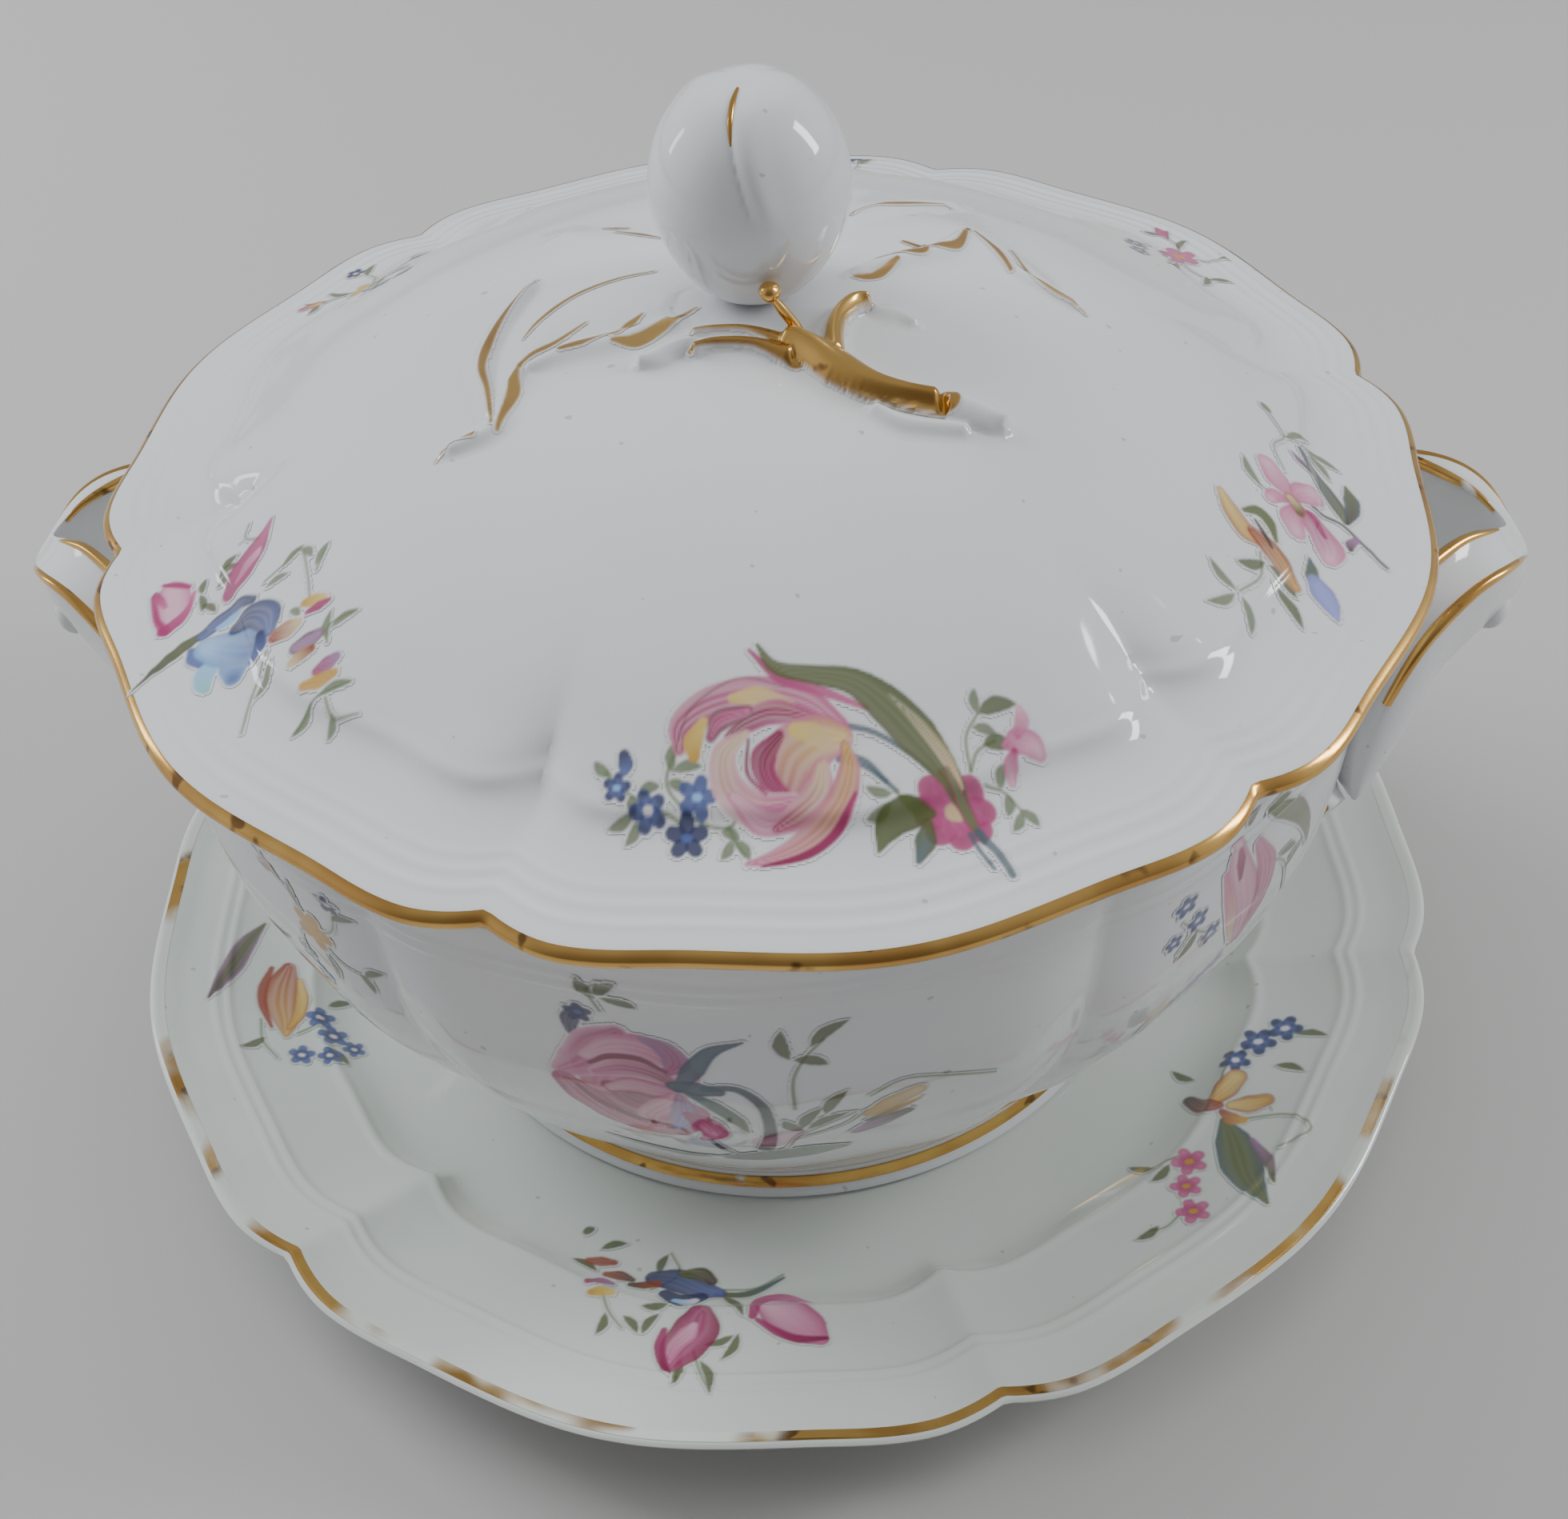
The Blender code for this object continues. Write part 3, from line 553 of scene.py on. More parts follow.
def add_gilded_lines(name, paths, thickness, material, body, widths=(0.5, 1.0, 1.0, 0.5)):
    """Lines along the paths, each an array of (x, y, z) in mm, as wide along them as widths says."""
    points, edges, tapers = [], [], []
    for path in paths:
        first = len(points)
        points += (np.asarray(path) * MM).tolist()
        edges += [(first + i, first + i + 1) for i in range(len(path) - 1)]
        tapers += np.interp(np.linspace(0, 3, len(path)), range(4), widths).tolist()
    mesh = bpy.data.meshes.new(name + "_path")
    mesh.from_pydata(points, edges, [])
    mesh.attributes.new("taper", "FLOAT", "POINT").data.foreach_set("value", tapers)
    holder = bpy.data.objects.new(name + "_path", mesh)
    bpy.context.scene.collection.objects.link(holder)
    sweep = holder.modifiers.new("gilded line", "NODES")
    sweep.node_group = gilded_lines
    sockets = {item.name: item.identifier for item in gilded_lines.interface.items_tree
               if item.in_out == "INPUT"}
    for socket, value in (("Thickness", thickness * MM), ("Sides", 10), ("Finish", material)):
        sweep[sockets[socket]] = value
    swept = holder.evaluated_get(bpy.context.evaluated_depsgraph_get())
    final = bpy.data.meshes.new_from_object(swept)
    final.name = name
    piece = bpy.data.objects.new(name, final)
    bpy.data.objects.remove(holder, do_unlink=True)
    bpy.context.scene.collection.objects.link(piece)
    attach(piece, body)
    return piece


handle_gold = finish_gilding("handle_gilding", 0.30, WHITE_BODY, 70.0)
for name, side in (("right", 1), ("left", -1)):
    lines = []
    for ridge, sunk, first, last in ((INNER_RIDGE, (-0.2, 0.5, -0.95), 8, 56),
                                     (OUTER_RIDGE, (-0.3, 0.1, -1.1), 12, 59)):
        line = smooth_rail(ridge, 61)[first:last] + sunk
        lines += [line * (side, 1, 1), line * (side, -1, 1)]
    add_gilded_lines("handle_gilding_" + name, lines, 1.25, handle_gold, "bowl", (0.7, 1.0, 0.8, 0.35))
leaf_gold = finish_gilding("leaf_gilding", 0.42, WHITE_BODY, 90.0, 0.5)
add_gilded_lines("root_leaf_gilding", leaf_edges, 0.32, leaf_gold, "bowl")


# ---- Lid ------------------------------------------------------------------------------------------
# A low dome on a flat lobed rim, cast in one with the flange that drops inside the bowl.  A soft
# ridge with a corner at each cusp runs round the shoulder, and fine lines follow the edge.
LID_CUSP = 13.0
lid_wall = Wall([
    (0, 170.0, 0, 0), (12, 169.6, 0, 0), (30, 167.6, 0, 0), (50, 163.6, 0, 0), (68, 157.4, 0.1, 0.1),
    (82, 150.8, 0.5, 0.5), (91, 145.6, 1.6, 1.0), (96.0, 142.6, 3.3, 1.4), (98.3, 140.9, 3.6, 1.4),
    (101.0, 139.0, 3.2, 1.2), (104.5, 137.6, 2.8, 1.0), (109, 136.4, 2.6, 0.7), (114, 135.3, 2.6, 0.5),
    (118, 134.6, 2.6, 0.4), (120.0, 134.0, 2.6, 0.3), (121.0, 132.9, 2.6, 0.3),
    (120.7, 131.6, 2.6, 0.3), (119.4, 130.8, 2.6, 0.3), (116, 130.6, 2.4, 0.2), (111, 130.6, 1.0, 0),
    (108.9, 129.8, 0, 0), (108.3, 128.2, 0, 0), (107.8, 123.4, 0, 0), (107.1, 121.9, 0, 0),
    (105.9, 121.8, 0, 0), (105.2, 123.2, 0, 0), (104.6, 128.5, 0, 0), (103.2, 131.6, 0, 0),
    (98.6, 134.6, 0.3, 0), (92, 139.3, 0.6, 0), (82, 146.2, 0.3, 0), (66, 153.6, 0, 0),
    (48, 159.6, 0, 0), (28, 163.6, 0, 0), (12, 165.5, 0, 0), (0, 166.0, 0, 0),
], LID_CUSP, beads=[(103.8, 0.35, 1.6), (116.4, 0.12, 0.8), (119.4, 0.16, 0.8), (122.6, 0.2, 0.8)])
turn_piece("lid", lid_wall, [(0, 0.3, 40), (0.3, 0.51, 120), (0.51, 0.65, 36), (0.65, 1, 14)],
           porcelain, "lid", ["lid_dome", "lid_flange"])
lid_gold = finish_gilding("lid_gilding", 0.22, WHITE_BODY, 60.0, 0.60)
gold_shares = lid_wall.edge_share + np.array((-0.0085, 0.0052))
add_film("lid_edge_gilding", lid_wall, gold_shares, 12, 450, 0.05, lid_gold, "lid")

# ---- Bud on the lid ---------------------------------------------------------------------------------
# The knob: a flower bud of three overlapping petals, modelled by hand and stuck on a little off
# the axis.  A crease with a touch of gold runs down its front to the point of the outer petal.
BUD_RADIUS, BUD_HEIGHT, BUD_BASE, BUD_OFF_AXIS = 17.0, 37.5, 170.3, 1.2
BUD_TIP, BUD_ROWS, BUD_COLUMNS = 0.99, 110, 160
BUD_OUTLINE = np.array([(0, 0), (0.30, 0), (0.52, 0.045), (0.73, 0.15), (0.90, 0.29), (1, 0.46),
                        (0.97, 0.64), (0.81, 0.82), (0.53, 0.95), (0.22, 0.995), (0, BUD_TIP)])
bud_line = smooth_line(BUD_OUTLINE * (BUD_RADIUS, BUD_HEIGHT), BUD_ROWS)
bud_rows = np.linspace(0, 1, BUD_ROWS)


def front_crease(up):
    """Angle of the front petal's edge, in degrees, at a share of the bud's height."""
    return -104.0 + 40.0 * (1 - up)


def bud_at(row, angle):
    """A place on the bud: row counts up its outline from 0 to 1, angle in degrees."""
    radius, height = (np.interp(row, bud_rows, column) for column in bud_line.T)
    up = height / BUD_HEIGHT
    reach = 1.5 * np.clip((up - 0.5) / 0.12, 0, 1) * np.clip(radius / 6.0, 0, 1)
    for edge, depth in ((front_crease(up), 0.75), (22.0 + 30.0 * up, 0.45), (150.0 - 20.0 * up, 0.45)):
        off = np.radians((angle - edge + 180.0) % 360.0 - 180.0) * np.maximum(radius, 2.0)
        radius = radius - depth * reach * np.exp(-np.abs(off) / 1.1)
        radius = radius + 0.35 * reach * np.exp(-((off - 3.0) / 2.4) ** 2)
    petal_point = np.radians(angle + 84.5) * BUD_RADIUS
    radius = radius + 0.45 * np.exp(-((petal_point / 0.9) ** 2 + ((height - 18.8) / 1.1) ** 2))
    turn = np.radians(angle)
    return np.stack([BUD_OFF_AXIS + radius * np.cos(turn), radius * np.sin(turn),
                     BUD_BASE + height + 0 * turn], -1)


rings = bud_at(np.linspace(0, 1, BUD_ROWS + 2)[1:-1, None],
               np.linspace(0, 360, BUD_COLUMNS, endpoint=False)[None, :])
tips = [(BUD_OFF_AXIS, 0, BUD_BASE), (BUD_OFF_AXIS, 0, BUD_BASE + BUD_HEIGHT * BUD_TIP)]
add_shell("bud", rings, tips, porcelain, "lid", ["finial_bud"], smooth=80,
          rising=True)
gilt_rows = np.linspace(0.93, 0.74, 16)
up = np.interp(gilt_rows, bud_rows, bud_line[:, 1]) / BUD_HEIGHT
bud_gold = finish_gilding("bud_crease_gilding", 0.2, WHITE_BODY)
add_gilded_lines("bud_gilding", [bud_at(gilt_rows, front_crease(up))], 0.55, bud_gold, "lid")


# ---- Sprig on the lid -------------------------------------------------------------------------------
# A twig with two leaves lies over the dome below the bud.  It is modelled in low relief on the
# lid, blended into it, and gilded: the wood all over, the leaves in brushed lines.
class Canvas:
    """A patch of a wall, u by v in mm, on which strokes of a brush are laid one after another."""
    STEPS = 25                                      # of a stroke's path
    STREAK = np.array([0.80, 0.66, 0.62])           # bare glaze seen through a dry brush

    def __init__(self, left, right, low, high, cell=0.3):
        self.cell = cell
        self.u, self.v = np.meshgrid(np.arange(left, right, cell), np.arange(low, high, cell))
        self.paint = np.zeros(self.u.shape + (4,))
        self.height = np.zeros(self.u.shape)

    def measure(self, path, widths):
        """Where a stroke is: a window, the distance over the half width, signed, the share along
        it, and the distance past its border in mm."""
        path = smooth_rail(path, self.STEPS + 1)
        half = np.interp(np.linspace(0, 1, self.STEPS + 1), np.linspace(0, 1, len(widths)), widths)
        margin = 2.2 * half.max() + 0.6
        low, high = path.min(axis=0) - margin, path.max(axis=0) + margin
        rows = np.nonzero((self.v[:, 0] > low[1]) & (self.v[:, 0] < high[1]))[0]
        columns = np.nonzero((self.u[0] > low[0]) & (self.u[0] < high[0]))[0]
        window = np.s_[rows[0]:rows[-1] + 1, columns[0]:columns[-1] + 1]
        place = np.stack([self.u[window], self.v[window]], -1)[..., None, :]
        step = path[1:] - path[:-1]
        along = np.clip(((place - path[:-1]) * step).sum(-1) / (step ** 2).sum(-1), 0, 1)
        off = place - path[:-1] - step * along[..., None]
        width = half[:-1] + (half[1:] - half[:-1]) * along
        distance = np.hypot(off[..., 0], off[..., 1])
        side = np.sign(step[:, 0] * off[..., 1] - step[:, 1] * off[..., 0])
        best = (distance / width).argmin(-1)[..., None]
        measures = (side * distance / width, (np.arange(self.STEPS) + along) / self.STEPS,
                    distance - width)
        return window, *(np.take_along_axis(a, best, -1)[..., 0] for a in measures)

    def swell(self, height, widths, path, roundness=1.0):
        """Raise the patch along a stroke, as a soft ridge or a round bar."""
        window, side, along, _ = self.measure(path, widths)
        fade = np.clip(np.minimum(along, 1 - along) / 0.06, 0.15, 1) ** 0.5
        soft = np.exp(-side ** 2)
        bar = np.sqrt(np.clip(1 - side ** 2, 0, 1)) + 0.25 * np.exp(-side ** 2)
        ridge = height * fade * (roundness * bar + (1 - roundness) * soft)
        self.height[window] = np.maximum(self.height[window], ridge)

    def brush(self, colour, tip, widths, path, rim=None, streak=0.0, cover=0.93):
        """One stroke: colour turns to tip along it and to rim at its borders."""
        window, side, along, past = self.measure(path, widths)
        ink = colour + (tip - colour) * along[..., None]
        if rim is not None:
            ink = ink + (rim - ink) * (np.clip(np.abs(side), 0, 1) ** 2.5)[..., None]
        if streak:
            wave = 0.5 + 0.5 * np.sin(8.0 * side + 5.0 * along + 3.0 * np.sin(3.0 * side))
            ink = ink + (self.STREAK - ink) * (streak * wave)[..., None]
        covered = (cover * np.clip(0.5 - past / 0.45, 0, 1))[..., None]
        self.paint[window] = (np.concatenate([ink * covered, covered], -1)
                              + self.paint[window] * (1 - covered))

    def height_at(self, u, v):
        """The raised height at places between the cells' corners."""
        rows, columns = self.u.shape
        row = np.clip((v - self.v[0, 0]) / self.cell, 0, rows - 1.001)
        column = np.clip((u - self.u[0, 0]) / self.cell, 0, columns - 1.001)
        i, j = row.astype(int), column.astype(int)
        a, b, h = row - i, column - j, self.height
        return ((1 - a) * (1 - b) * h[i, j] + (1 - a) * b * h[i, j + 1]
                + a * (1 - b) * h[i + 1, j] + a * b * h[i + 1, j + 1])

    def skin(self, name, place, keep, lift, material, body, slot, replaces=(), enamel=True):
        """A mesh of the cells where keep says so; place turns (u, v) and a lift to points."""
        points = place(self.u, self.v, lift).reshape(-1, 3)
        quads = grid_faces(*self.u.shape, False)
        quads = quads[keep.reshape(-1)[quads].any(axis=1)]
        used, quads = np.unique(quads, return_inverse=True)
        quads = quads.reshape(-1, 4)
        corner = points[used][quads]
        normal = np.cross(corner[:, 1] - corner[:, 0], corner[:, 3] - corner[:, 0])
        outward = corner[:, 0] * (1, 1, 0) + (0, 0, 60.0)       # away from the axis, and up
        if (normal * outward).sum() < 0:
            quads = quads[:, ::-1]
        piece = add_piece(name, points[used], quads.tolist(), material, body, replaces, 180)
        if enamel:
            layer = piece.data.color_attributes.new("enamel", "FLOAT_COLOR", "POINT")
            layer.data.foreach_set("color", self.paint.reshape(-1, 4)[used].ravel())
        return piece


def on_lid(u, v, lift):
    """Places on the lid over (u, v) in plan; the lift is one number or one for each place."""
    share, angle = lid_wall.share_under(u, v)
    return lid_wall.lifted(share, angle, np.asarray(lift)[..., None] if np.ndim(lift) else lift)


TRUNK = [(6, -16.6), (10.8, -19.4), (16, -24), (21.5, -28), (27, -29.8), (33, -30.4)]
TRUNK_WIDTHS = [2.2, 3.0, 3.6, 2.7, 2.2, 2.3]
HOOK = [(15.2, -22), (14.9, -16), (15.6, -10.8), (18.0, -6.6), (21.2, -5.6)]
HOOK_WIDTHS = [2.0, 1.7, 1.6, 1.5, 0.5]
PRONGS = [[(-9.2, -15.6), (-4, -14.9), (1, -15.4), (8.1, -18.1)],
          [(-8.6, -19.6), (-4.4, -18.2), (2, -18.6), (9, -21.4)]]
LEAF_LINES = [
    ([0.2, 0.5, 1.0, 1.3, 0.4], [(-8.7, -6), (-11.6, -9), (-14.3, -12.2), (-18.2, -15), (-22.1, -14.8)]),
    ([0.2, 0.9, 0.8, 0.3], [(-17.9, -7.2), (-20, -10), (-21.9, -12.7), (-24.6, -12.7)]),
    ([0.5, 1.1, 0.6], [(-24.3, -13.1), (-27.6, -14.3), (-31, -15.4)]),
    ([0.2, 0.55, 0.4], [(-27.7, -8), (-32.4, -12.4), (-36, -14.9), (-37.9, -17.4)]),
    ([0.4, 0.9, 1.0, 0.3], [(-37.9, -17.4), (-38.4, -21), (-38.1, -25.1), (-39.8, -33)]),
    ([0.2, 0.5, 0.9, 0.5, 0.3], [(-39.1, 10.6), (-42, 2.1), (-44.2, -7.6), (-44.8, -15.8),
                                 (-42.8, -22.8), (-40.8, -31.6)]),
    ([0.2, 0.45, 0.5, 0.15], [(-17.3, 7.7), (-23.9, 6.1), (-30.7, 2.1), (-36.1, -4.7), (-38.5, -9.9)]),
    ([0.6, 0.4, 0.1], [(-43.9, -33.2), (-47.4, -33.6), (-50.5, -36.1)]),
    ([0.2, 0.5, 0.2], [(-29, 28.9), (-26.6, 27.9), (-24.1, 27.3)]),
    ([0.2, 0.5, 0.2], [(-26.2, 25.7), (-21.4, 22.6), (-17.2, 19.9)]),
    ([0.2, 0.7, 0.9, 0.4], [(18, 4.5), (20.3, 4.9), (22.5, 6.3), (25.6, 11.1)]),
    ([0.4, 0.9, 0.4], [(22.2, 11.5), (25.6, 13.7), (30.1, 14.9), (30.6, 18.7)]),
    ([0.4, 0.8, 0.9, 0.3], [(26.7, 19), (31.7, 17.7), (36.4, 20.3), (38.5, 28.6)]),
    ([0.4, 0.6, 0.3], [(38.5, 28.6), (42.7, 21.3), (45.8, 13.6)]),
    ([0.2, 0.4, 0.15], [(46.3, 22.4), (48.6, 14.2), (52.1, 9.4), (58.9, 4.9)]),
    ([0.2, 0.5, 0.2], [(16.9, 29.3), (20.8, 34.6), (26.8, 37.3), (35.7, 40.2)]),
]
relief = Canvas(-58, 66, -44, 48, 0.42)
for height, roundness, widths, path in (
        (0.9, 0, [5, 8, 8, 4, 2], [(-12, -4), (-22, -3), (-32, -6), (-38, -16), (-40, -30)]),
        (0.9, 0, [4, 8, 8, 5, 2], [(16, 12), (24, 22), (34, 28), (44, 20), (54, 9)]),
        (0.8, 0, [4, 7, 6, 3], [(-12, 16), (-22, 20), (-31, 24), (-38, 30)]),
        (0.8, 0, [4, 6, 5, 2], [(10, 20), (20, 32), (28, 40), (38, 45)]),
        (1.5, 0, [2.0, 2.6, 2.4, 1.2], [(-12, -9.5), (-21, -13.5), (-31, -15.6), (-37.5, -19)]),
        (1.6, 0, [1.2, 2.0, 2.0, 1.2], [(-37.5, -18), (-39.5, -25), (-41, -32), (-49, -35)]),
        (1.3, 0, [1.0, 2.2, 2.2, 1.2], [(-39, 10), (-44, -6), (-44.8, -16), (-41, -31)]),
        (1.5, 0, [1.2, 2.2, 2.4, 1.6], [(17, 5), (26, 12.5), (33, 17.8), (38.5, 28)]),
        (1.4, 0, [1.6, 2.0, 1.6, 0.8], [(38.5, 28), (43, 20.5), (48, 13), (58, 5.5)]),
        (1.1, 0, [1.0, 2.0, 1.4], [(16.9, 29.3), (24, 36.5), (35.7, 40.2)]),
        (3.6, 0.85, TRUNK_WIDTHS, TRUNK),
        (3.2, 0.8, [w * 1.15 for w in HOOK_WIDTHS], HOOK),
        (2.4, 0.6, [1.3, 1.3, 1.6, 2.0], PRONGS[0]),
        (2.4, 0.6, [1.3, 1.3, 1.6, 2.0], PRONGS[1]),
        (1.7, 0, [3.0, 3.6, 3.0], [(-9, -17.6), (-2, -16.8), (6, -18.6)]),
        (2.2, 0.4, [1.0, 2.6, 2.4, 1.2], [(-17.6, -21.4), (-14.5, -20), (-11, -17.6), (-8, -17.2)]),
        (3.0, 0.5, [3.0, 3.4, 3.0, 1.4], [(33, -30.6), (36, -30.2), (40, -31.6), (43, -32.6)]),
        (1.6, 0.1, [1.2, 2.0, 1.4], [(21.4, -31.5), (27, -34.4), (37.5, -34.4)]),
        (1.4, 0, [1.0, 2.2, 1.0], [(21, -6), (25, -6.5), (29, -9)])):
    relief.swell(height, widths, path, roundness)
relief.skin("sprig_relief", on_lid, relief.height > 0.05, relief.height - 0.04, porcelain, "lid",
            "porcelain", ["finial_branch", "finial_leaf_left", "finial_leaf_right",
                          "finial_leaf_back_left", "finial_leaf_back_right"], enamel=False)

strokes = Canvas(-58, 66, -44, 48, 0.24)
INK = np.zeros(3)       # any colour: the gilding reads only how far the strokes cover
for widths, path in LEAF_LINES:
    strokes.brush(INK, INK, widths, path)
for widths, path in ((TRUNK_WIDTHS, TRUNK), (HOOK_WIDTHS, HOOK), ([0.25, 0.5, 0.6, 1.6], PRONGS[0]),
                     ([0.5, 0.8, 1.0, 2.0], PRONGS[1])):
    strokes.brush(INK, INK, widths, path, cover=1.0)
strokes.height = relief.height_at(strokes.u, strokes.v)
sprig_gold = finish_gilding("sprig_gilding", 0.12, WHITE_BODY, 90.0, 0.66, brushed=True)
strokes.skin("sprig_gilding", on_lid, strokes.paint[..., 3] > 0.02, strokes.height + 0.08, sprig_gold,
             "lid", "gilding", ["finial_hook_twig"])

wood_gold = finish_gilding("twig_gilding", 0.05, WHITE_BODY, 90.0, 0.66)
twig_path = smooth_rail([(10.5, -16.5, 168.5), (9.0, -15.6, 171.5), (6.6, -15.8, 175.3),
                         (4.9, -16.4, 178.3)], 18)
twig = add_gilded_lines("rising_twig", [twig_path], 0.95, wood_gold, "lid")
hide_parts("finial_twig")
knob_radius, knob_middle = 1.85, (4.8, -16.6, 179.0)
turn, tilt = np.meshgrid(np.linspace(0, 2 * np.pi, 32, endpoint=False), np.linspace(-1.45, 1.45, 19))
swell = knob_radius * (1 + 0.05 * np.sin(3 * turn) * np.cos(tilt))
ball = np.stack([swell * np.cos(tilt) * np.cos(turn), swell * np.cos(tilt) * np.sin(turn),
                 0.92 * swell * np.sin(tilt)], -1)
add_bar("twig_knob", ball + knob_middle, wood_gold, "lid")


# ---- Sprays of flowers: colours and ways of painting them -------------------------------------------
# Enamel colours painted by hand over the glaze and fired again: tulips, roses, pansies, blossoms
# and forget-me-nots, with loose twigs between them.  Each spray is a skin a little off its wall.


def tint(red, green, blue):
    """The enamel of a colour given as it is seen in soft light, from 0 to 255."""
    return 1.05 * (np.array([red, green, blue]) / 255.0) ** 2.2


CRIMSON, MAGENTA = tint(122, 28, 68), tint(160, 50, 104)
ROSE, BLUSH = tint(192, 98, 142), tint(220, 166, 188)
YELLOW, SAND, OCHRE, RUST = tint(218, 190, 104), tint(208, 184, 140), tint(196, 150, 48), tint(146, 68, 46)
OLIVE, LEAF, TEAL, BROWN_INK = tint(88, 98, 52), tint(112, 128, 92), tint(72, 92, 104), tint(70, 56, 50)
NAVY, BLUE, SKY, AQUA = tint(48, 54, 92), tint(84, 100, 158), tint(146, 190, 236), tint(132, 192, 194)
VIOLET, MAUVE, PALE = tint(142, 148, 212), tint(150, 106, 148), tint(226, 220, 222)


def paint_blossom(canvas, u, v, size, colour, rim, middle, turn=0.0, petals=5, flat=1.0):
    """An open flower of round petals with a round middle."""
    for k in range(petals):
        way = math.radians(turn + 360.0 * k / petals)
        du, dv = size * math.cos(way), size * flat * math.sin(way)
        canvas.brush(colour, rim, [0.20 * size, 0.36 * size, 0.34 * size],
                     [(u + share * du, v + share * dv) for share in (0.2, 0.5, 0.68)],
                     rim=0.5 * (colour + rim))
    canvas.brush(middle, middle, [0.19 * size, 0.19 * size], [(u - 0.06 * size, v), (u + 0.06 * size, v)])


def paint_leaves(canvas, colour, width, *leaves):
    """Small pointed leaves, each from (u, v) to (u, v)."""
    for u0, v0, u1, v1 in leaves:
        bend = 0.10 * np.array([v0 - v1, u1 - u0])
        middle = np.array([(u0 + u1) / 2, (v0 + v1) / 2]) + bend
        canvas.brush(colour, 0.8 * colour, [0.15, 0.8 * width, width, 0.7 * width, 0.1],
                     smooth_rail([(u0, v0), middle, (u1, v1)], 5), rim=0.6 * colour, cover=0.88)


def paint_twigs(canvas, colour, width, *paths):
    """Thin twigs, each along its path."""
    for path in paths:
        canvas.brush(colour, colour, [width, 0.8 * width], path, cover=0.85)


def paint_strokes(canvas, *strokes):
    """Strokes in order, each (colour, colour at its tip, half widths, path, border colour, streak).

    The border's colour and the streak can be left out.
    """
    for stroke in strokes:
        canvas.brush(*stroke)


def paint_small_spray(canvas, u, v, size, petals, turn):
    """A blossom with a bud, three forget-me-nots and loose twigs, for the far sides."""
    c, s = size * math.cos(math.radians(turn)), size * math.sin(math.radians(turn))

    def at(x, y):
        return u + c * x - s * y, v + s * x + c * y

    paint_twigs(canvas, LEAF, 0.30, [at(0, 0), at(-5, 3), at(-11, 2)], [at(0, 0), at(5, -4), at(12, -4)],
                [at(0, 0), at(4, 4), at(6, 10)], [at(0, 0), at(-3, -6), at(-2, -12)])
    paint_leaves(canvas, OLIVE, 0.9 * size, *[at(*a) + at(*b) for a, b in (
        ((3, 3), (9, 6)), ((-4, -3), (-10, -6)), ((5, 8), (9, 12)), ((6, 10), (3, 14)),
        ((-2, -10), (-6, -13)), ((-2, -11), (2, -14)), ((9, -4), (13, -8)))])
    paint_blossom(canvas, *at(0, 0), 4.6 * size, petals, 0.8 * petals, OCHRE, turn)
    for x, y, radius in ((-12, 2, 2.5), (-15, -2, 2.1), (13, -3, 2.3)):
        paint_blossom(canvas, *at(x, y), radius * size, NAVY, 0.8 * NAVY, PALE, turn + 20)
    canvas.brush(petals, MAGENTA, [0.8 * size, 1.5 * size, 0.4],
                 [at(5.6, 9.6), at(6.6, 11.6), at(7.4, 14)], rim=MAGENTA)


def add_spray(name, canvas, place, material, body):
    """The painted part of a canvas as a skin on its wall."""
    canvas.skin(name, place, canvas.paint[..., 3] > 0.02, 0.10, material, body, "flower_enamel")


def add_edge_spray(name, u, v, half, size, petals, turn, edge, place, material, body):
    """A small spray on a canvas half wide each way, cut off past the edge's radius, in mm."""
    canvas = Canvas(u - half, u + half, v - half, v + half, 0.32)
    paint_small_spray(canvas, u, v, size, petals, turn)
    canvas.paint[np.hypot(canvas.u, canvas.v) > edge] = 0
    add_spray(name, canvas, place, material, body)


# ---- Flowers on the lid -----------------------------------------------------------------------------
# A large tulip with forget-me-nots in front, tulips and a blue flower on the left, a briar rose
# with an orange trumpet flower on the right, and smaller sprays round the back.
lid_enamel = finish_glaze("lid_flowers", WHITE_BODY, WHITE_POOLED, painted=True)
front = Canvas(-23, 51, -109, -73)
paint_twigs(front, LEAF, 0.30, [(-17.5, -93), (-15.5, -95), (-11, -98)],
            [(-10, -98), (-7, -99), (-5, -101)],
            [(-7.2, -90), (-8.3, -95), (-4, -99), (1, -100), (2.6, -97.4)],
            [(1, -100), (2, -102), (3.4, -104)])
paint_leaves(front, LEAF, 0.85, (-16.8, -93.4, -19.4, -91.2), (-7.6, -93, -7.6, -89.4),
             (-7.4, -93, -3.2, -92.4), (-8, -94.5, -5.6, -95.6), (-12.4, -96, -9.4, -95),
             (-13.4, -98.6, -17, -100.2), (-13, -98.4, -13.4, -96.4), (-12.6, -99.4, -14.2, -102.6),
             (0, -100.6, 2.6, -101.6), (1.4, -101.8, 0, -104.6), (2, -101.8, 4.2, -104.8))
for floret in ((-15.8, -95.2, 2.2, BLUE, NAVY, SKY, 10), (-11, -98.2, 2.9, BLUE, NAVY, PALE, 40),
               (-3.8, -96.4, 3.0, BLUE, 0.8 * BLUE, SKY, 75), (-5.2, -101.4, 3.3, NAVY, NAVY, BLUE, 20)):
    paint_blossom(front, *floret)
front.brush(NAVY, BLUE, [0.9, 1.2, 0.7], [(-14.9, -90.8), (-14.6, -92.0), (-14.7, -93)])
paint_twigs(front, TEAL, 0.5, [(16.5, -86.6), (22, -87.2), (27, -89.4), (31, -92)],
            [(17, -90.6), (21, -91.4), (24, -94), (25.6, -95.2)], [(17, -91.4), (20.5, -92), (24, -94)])
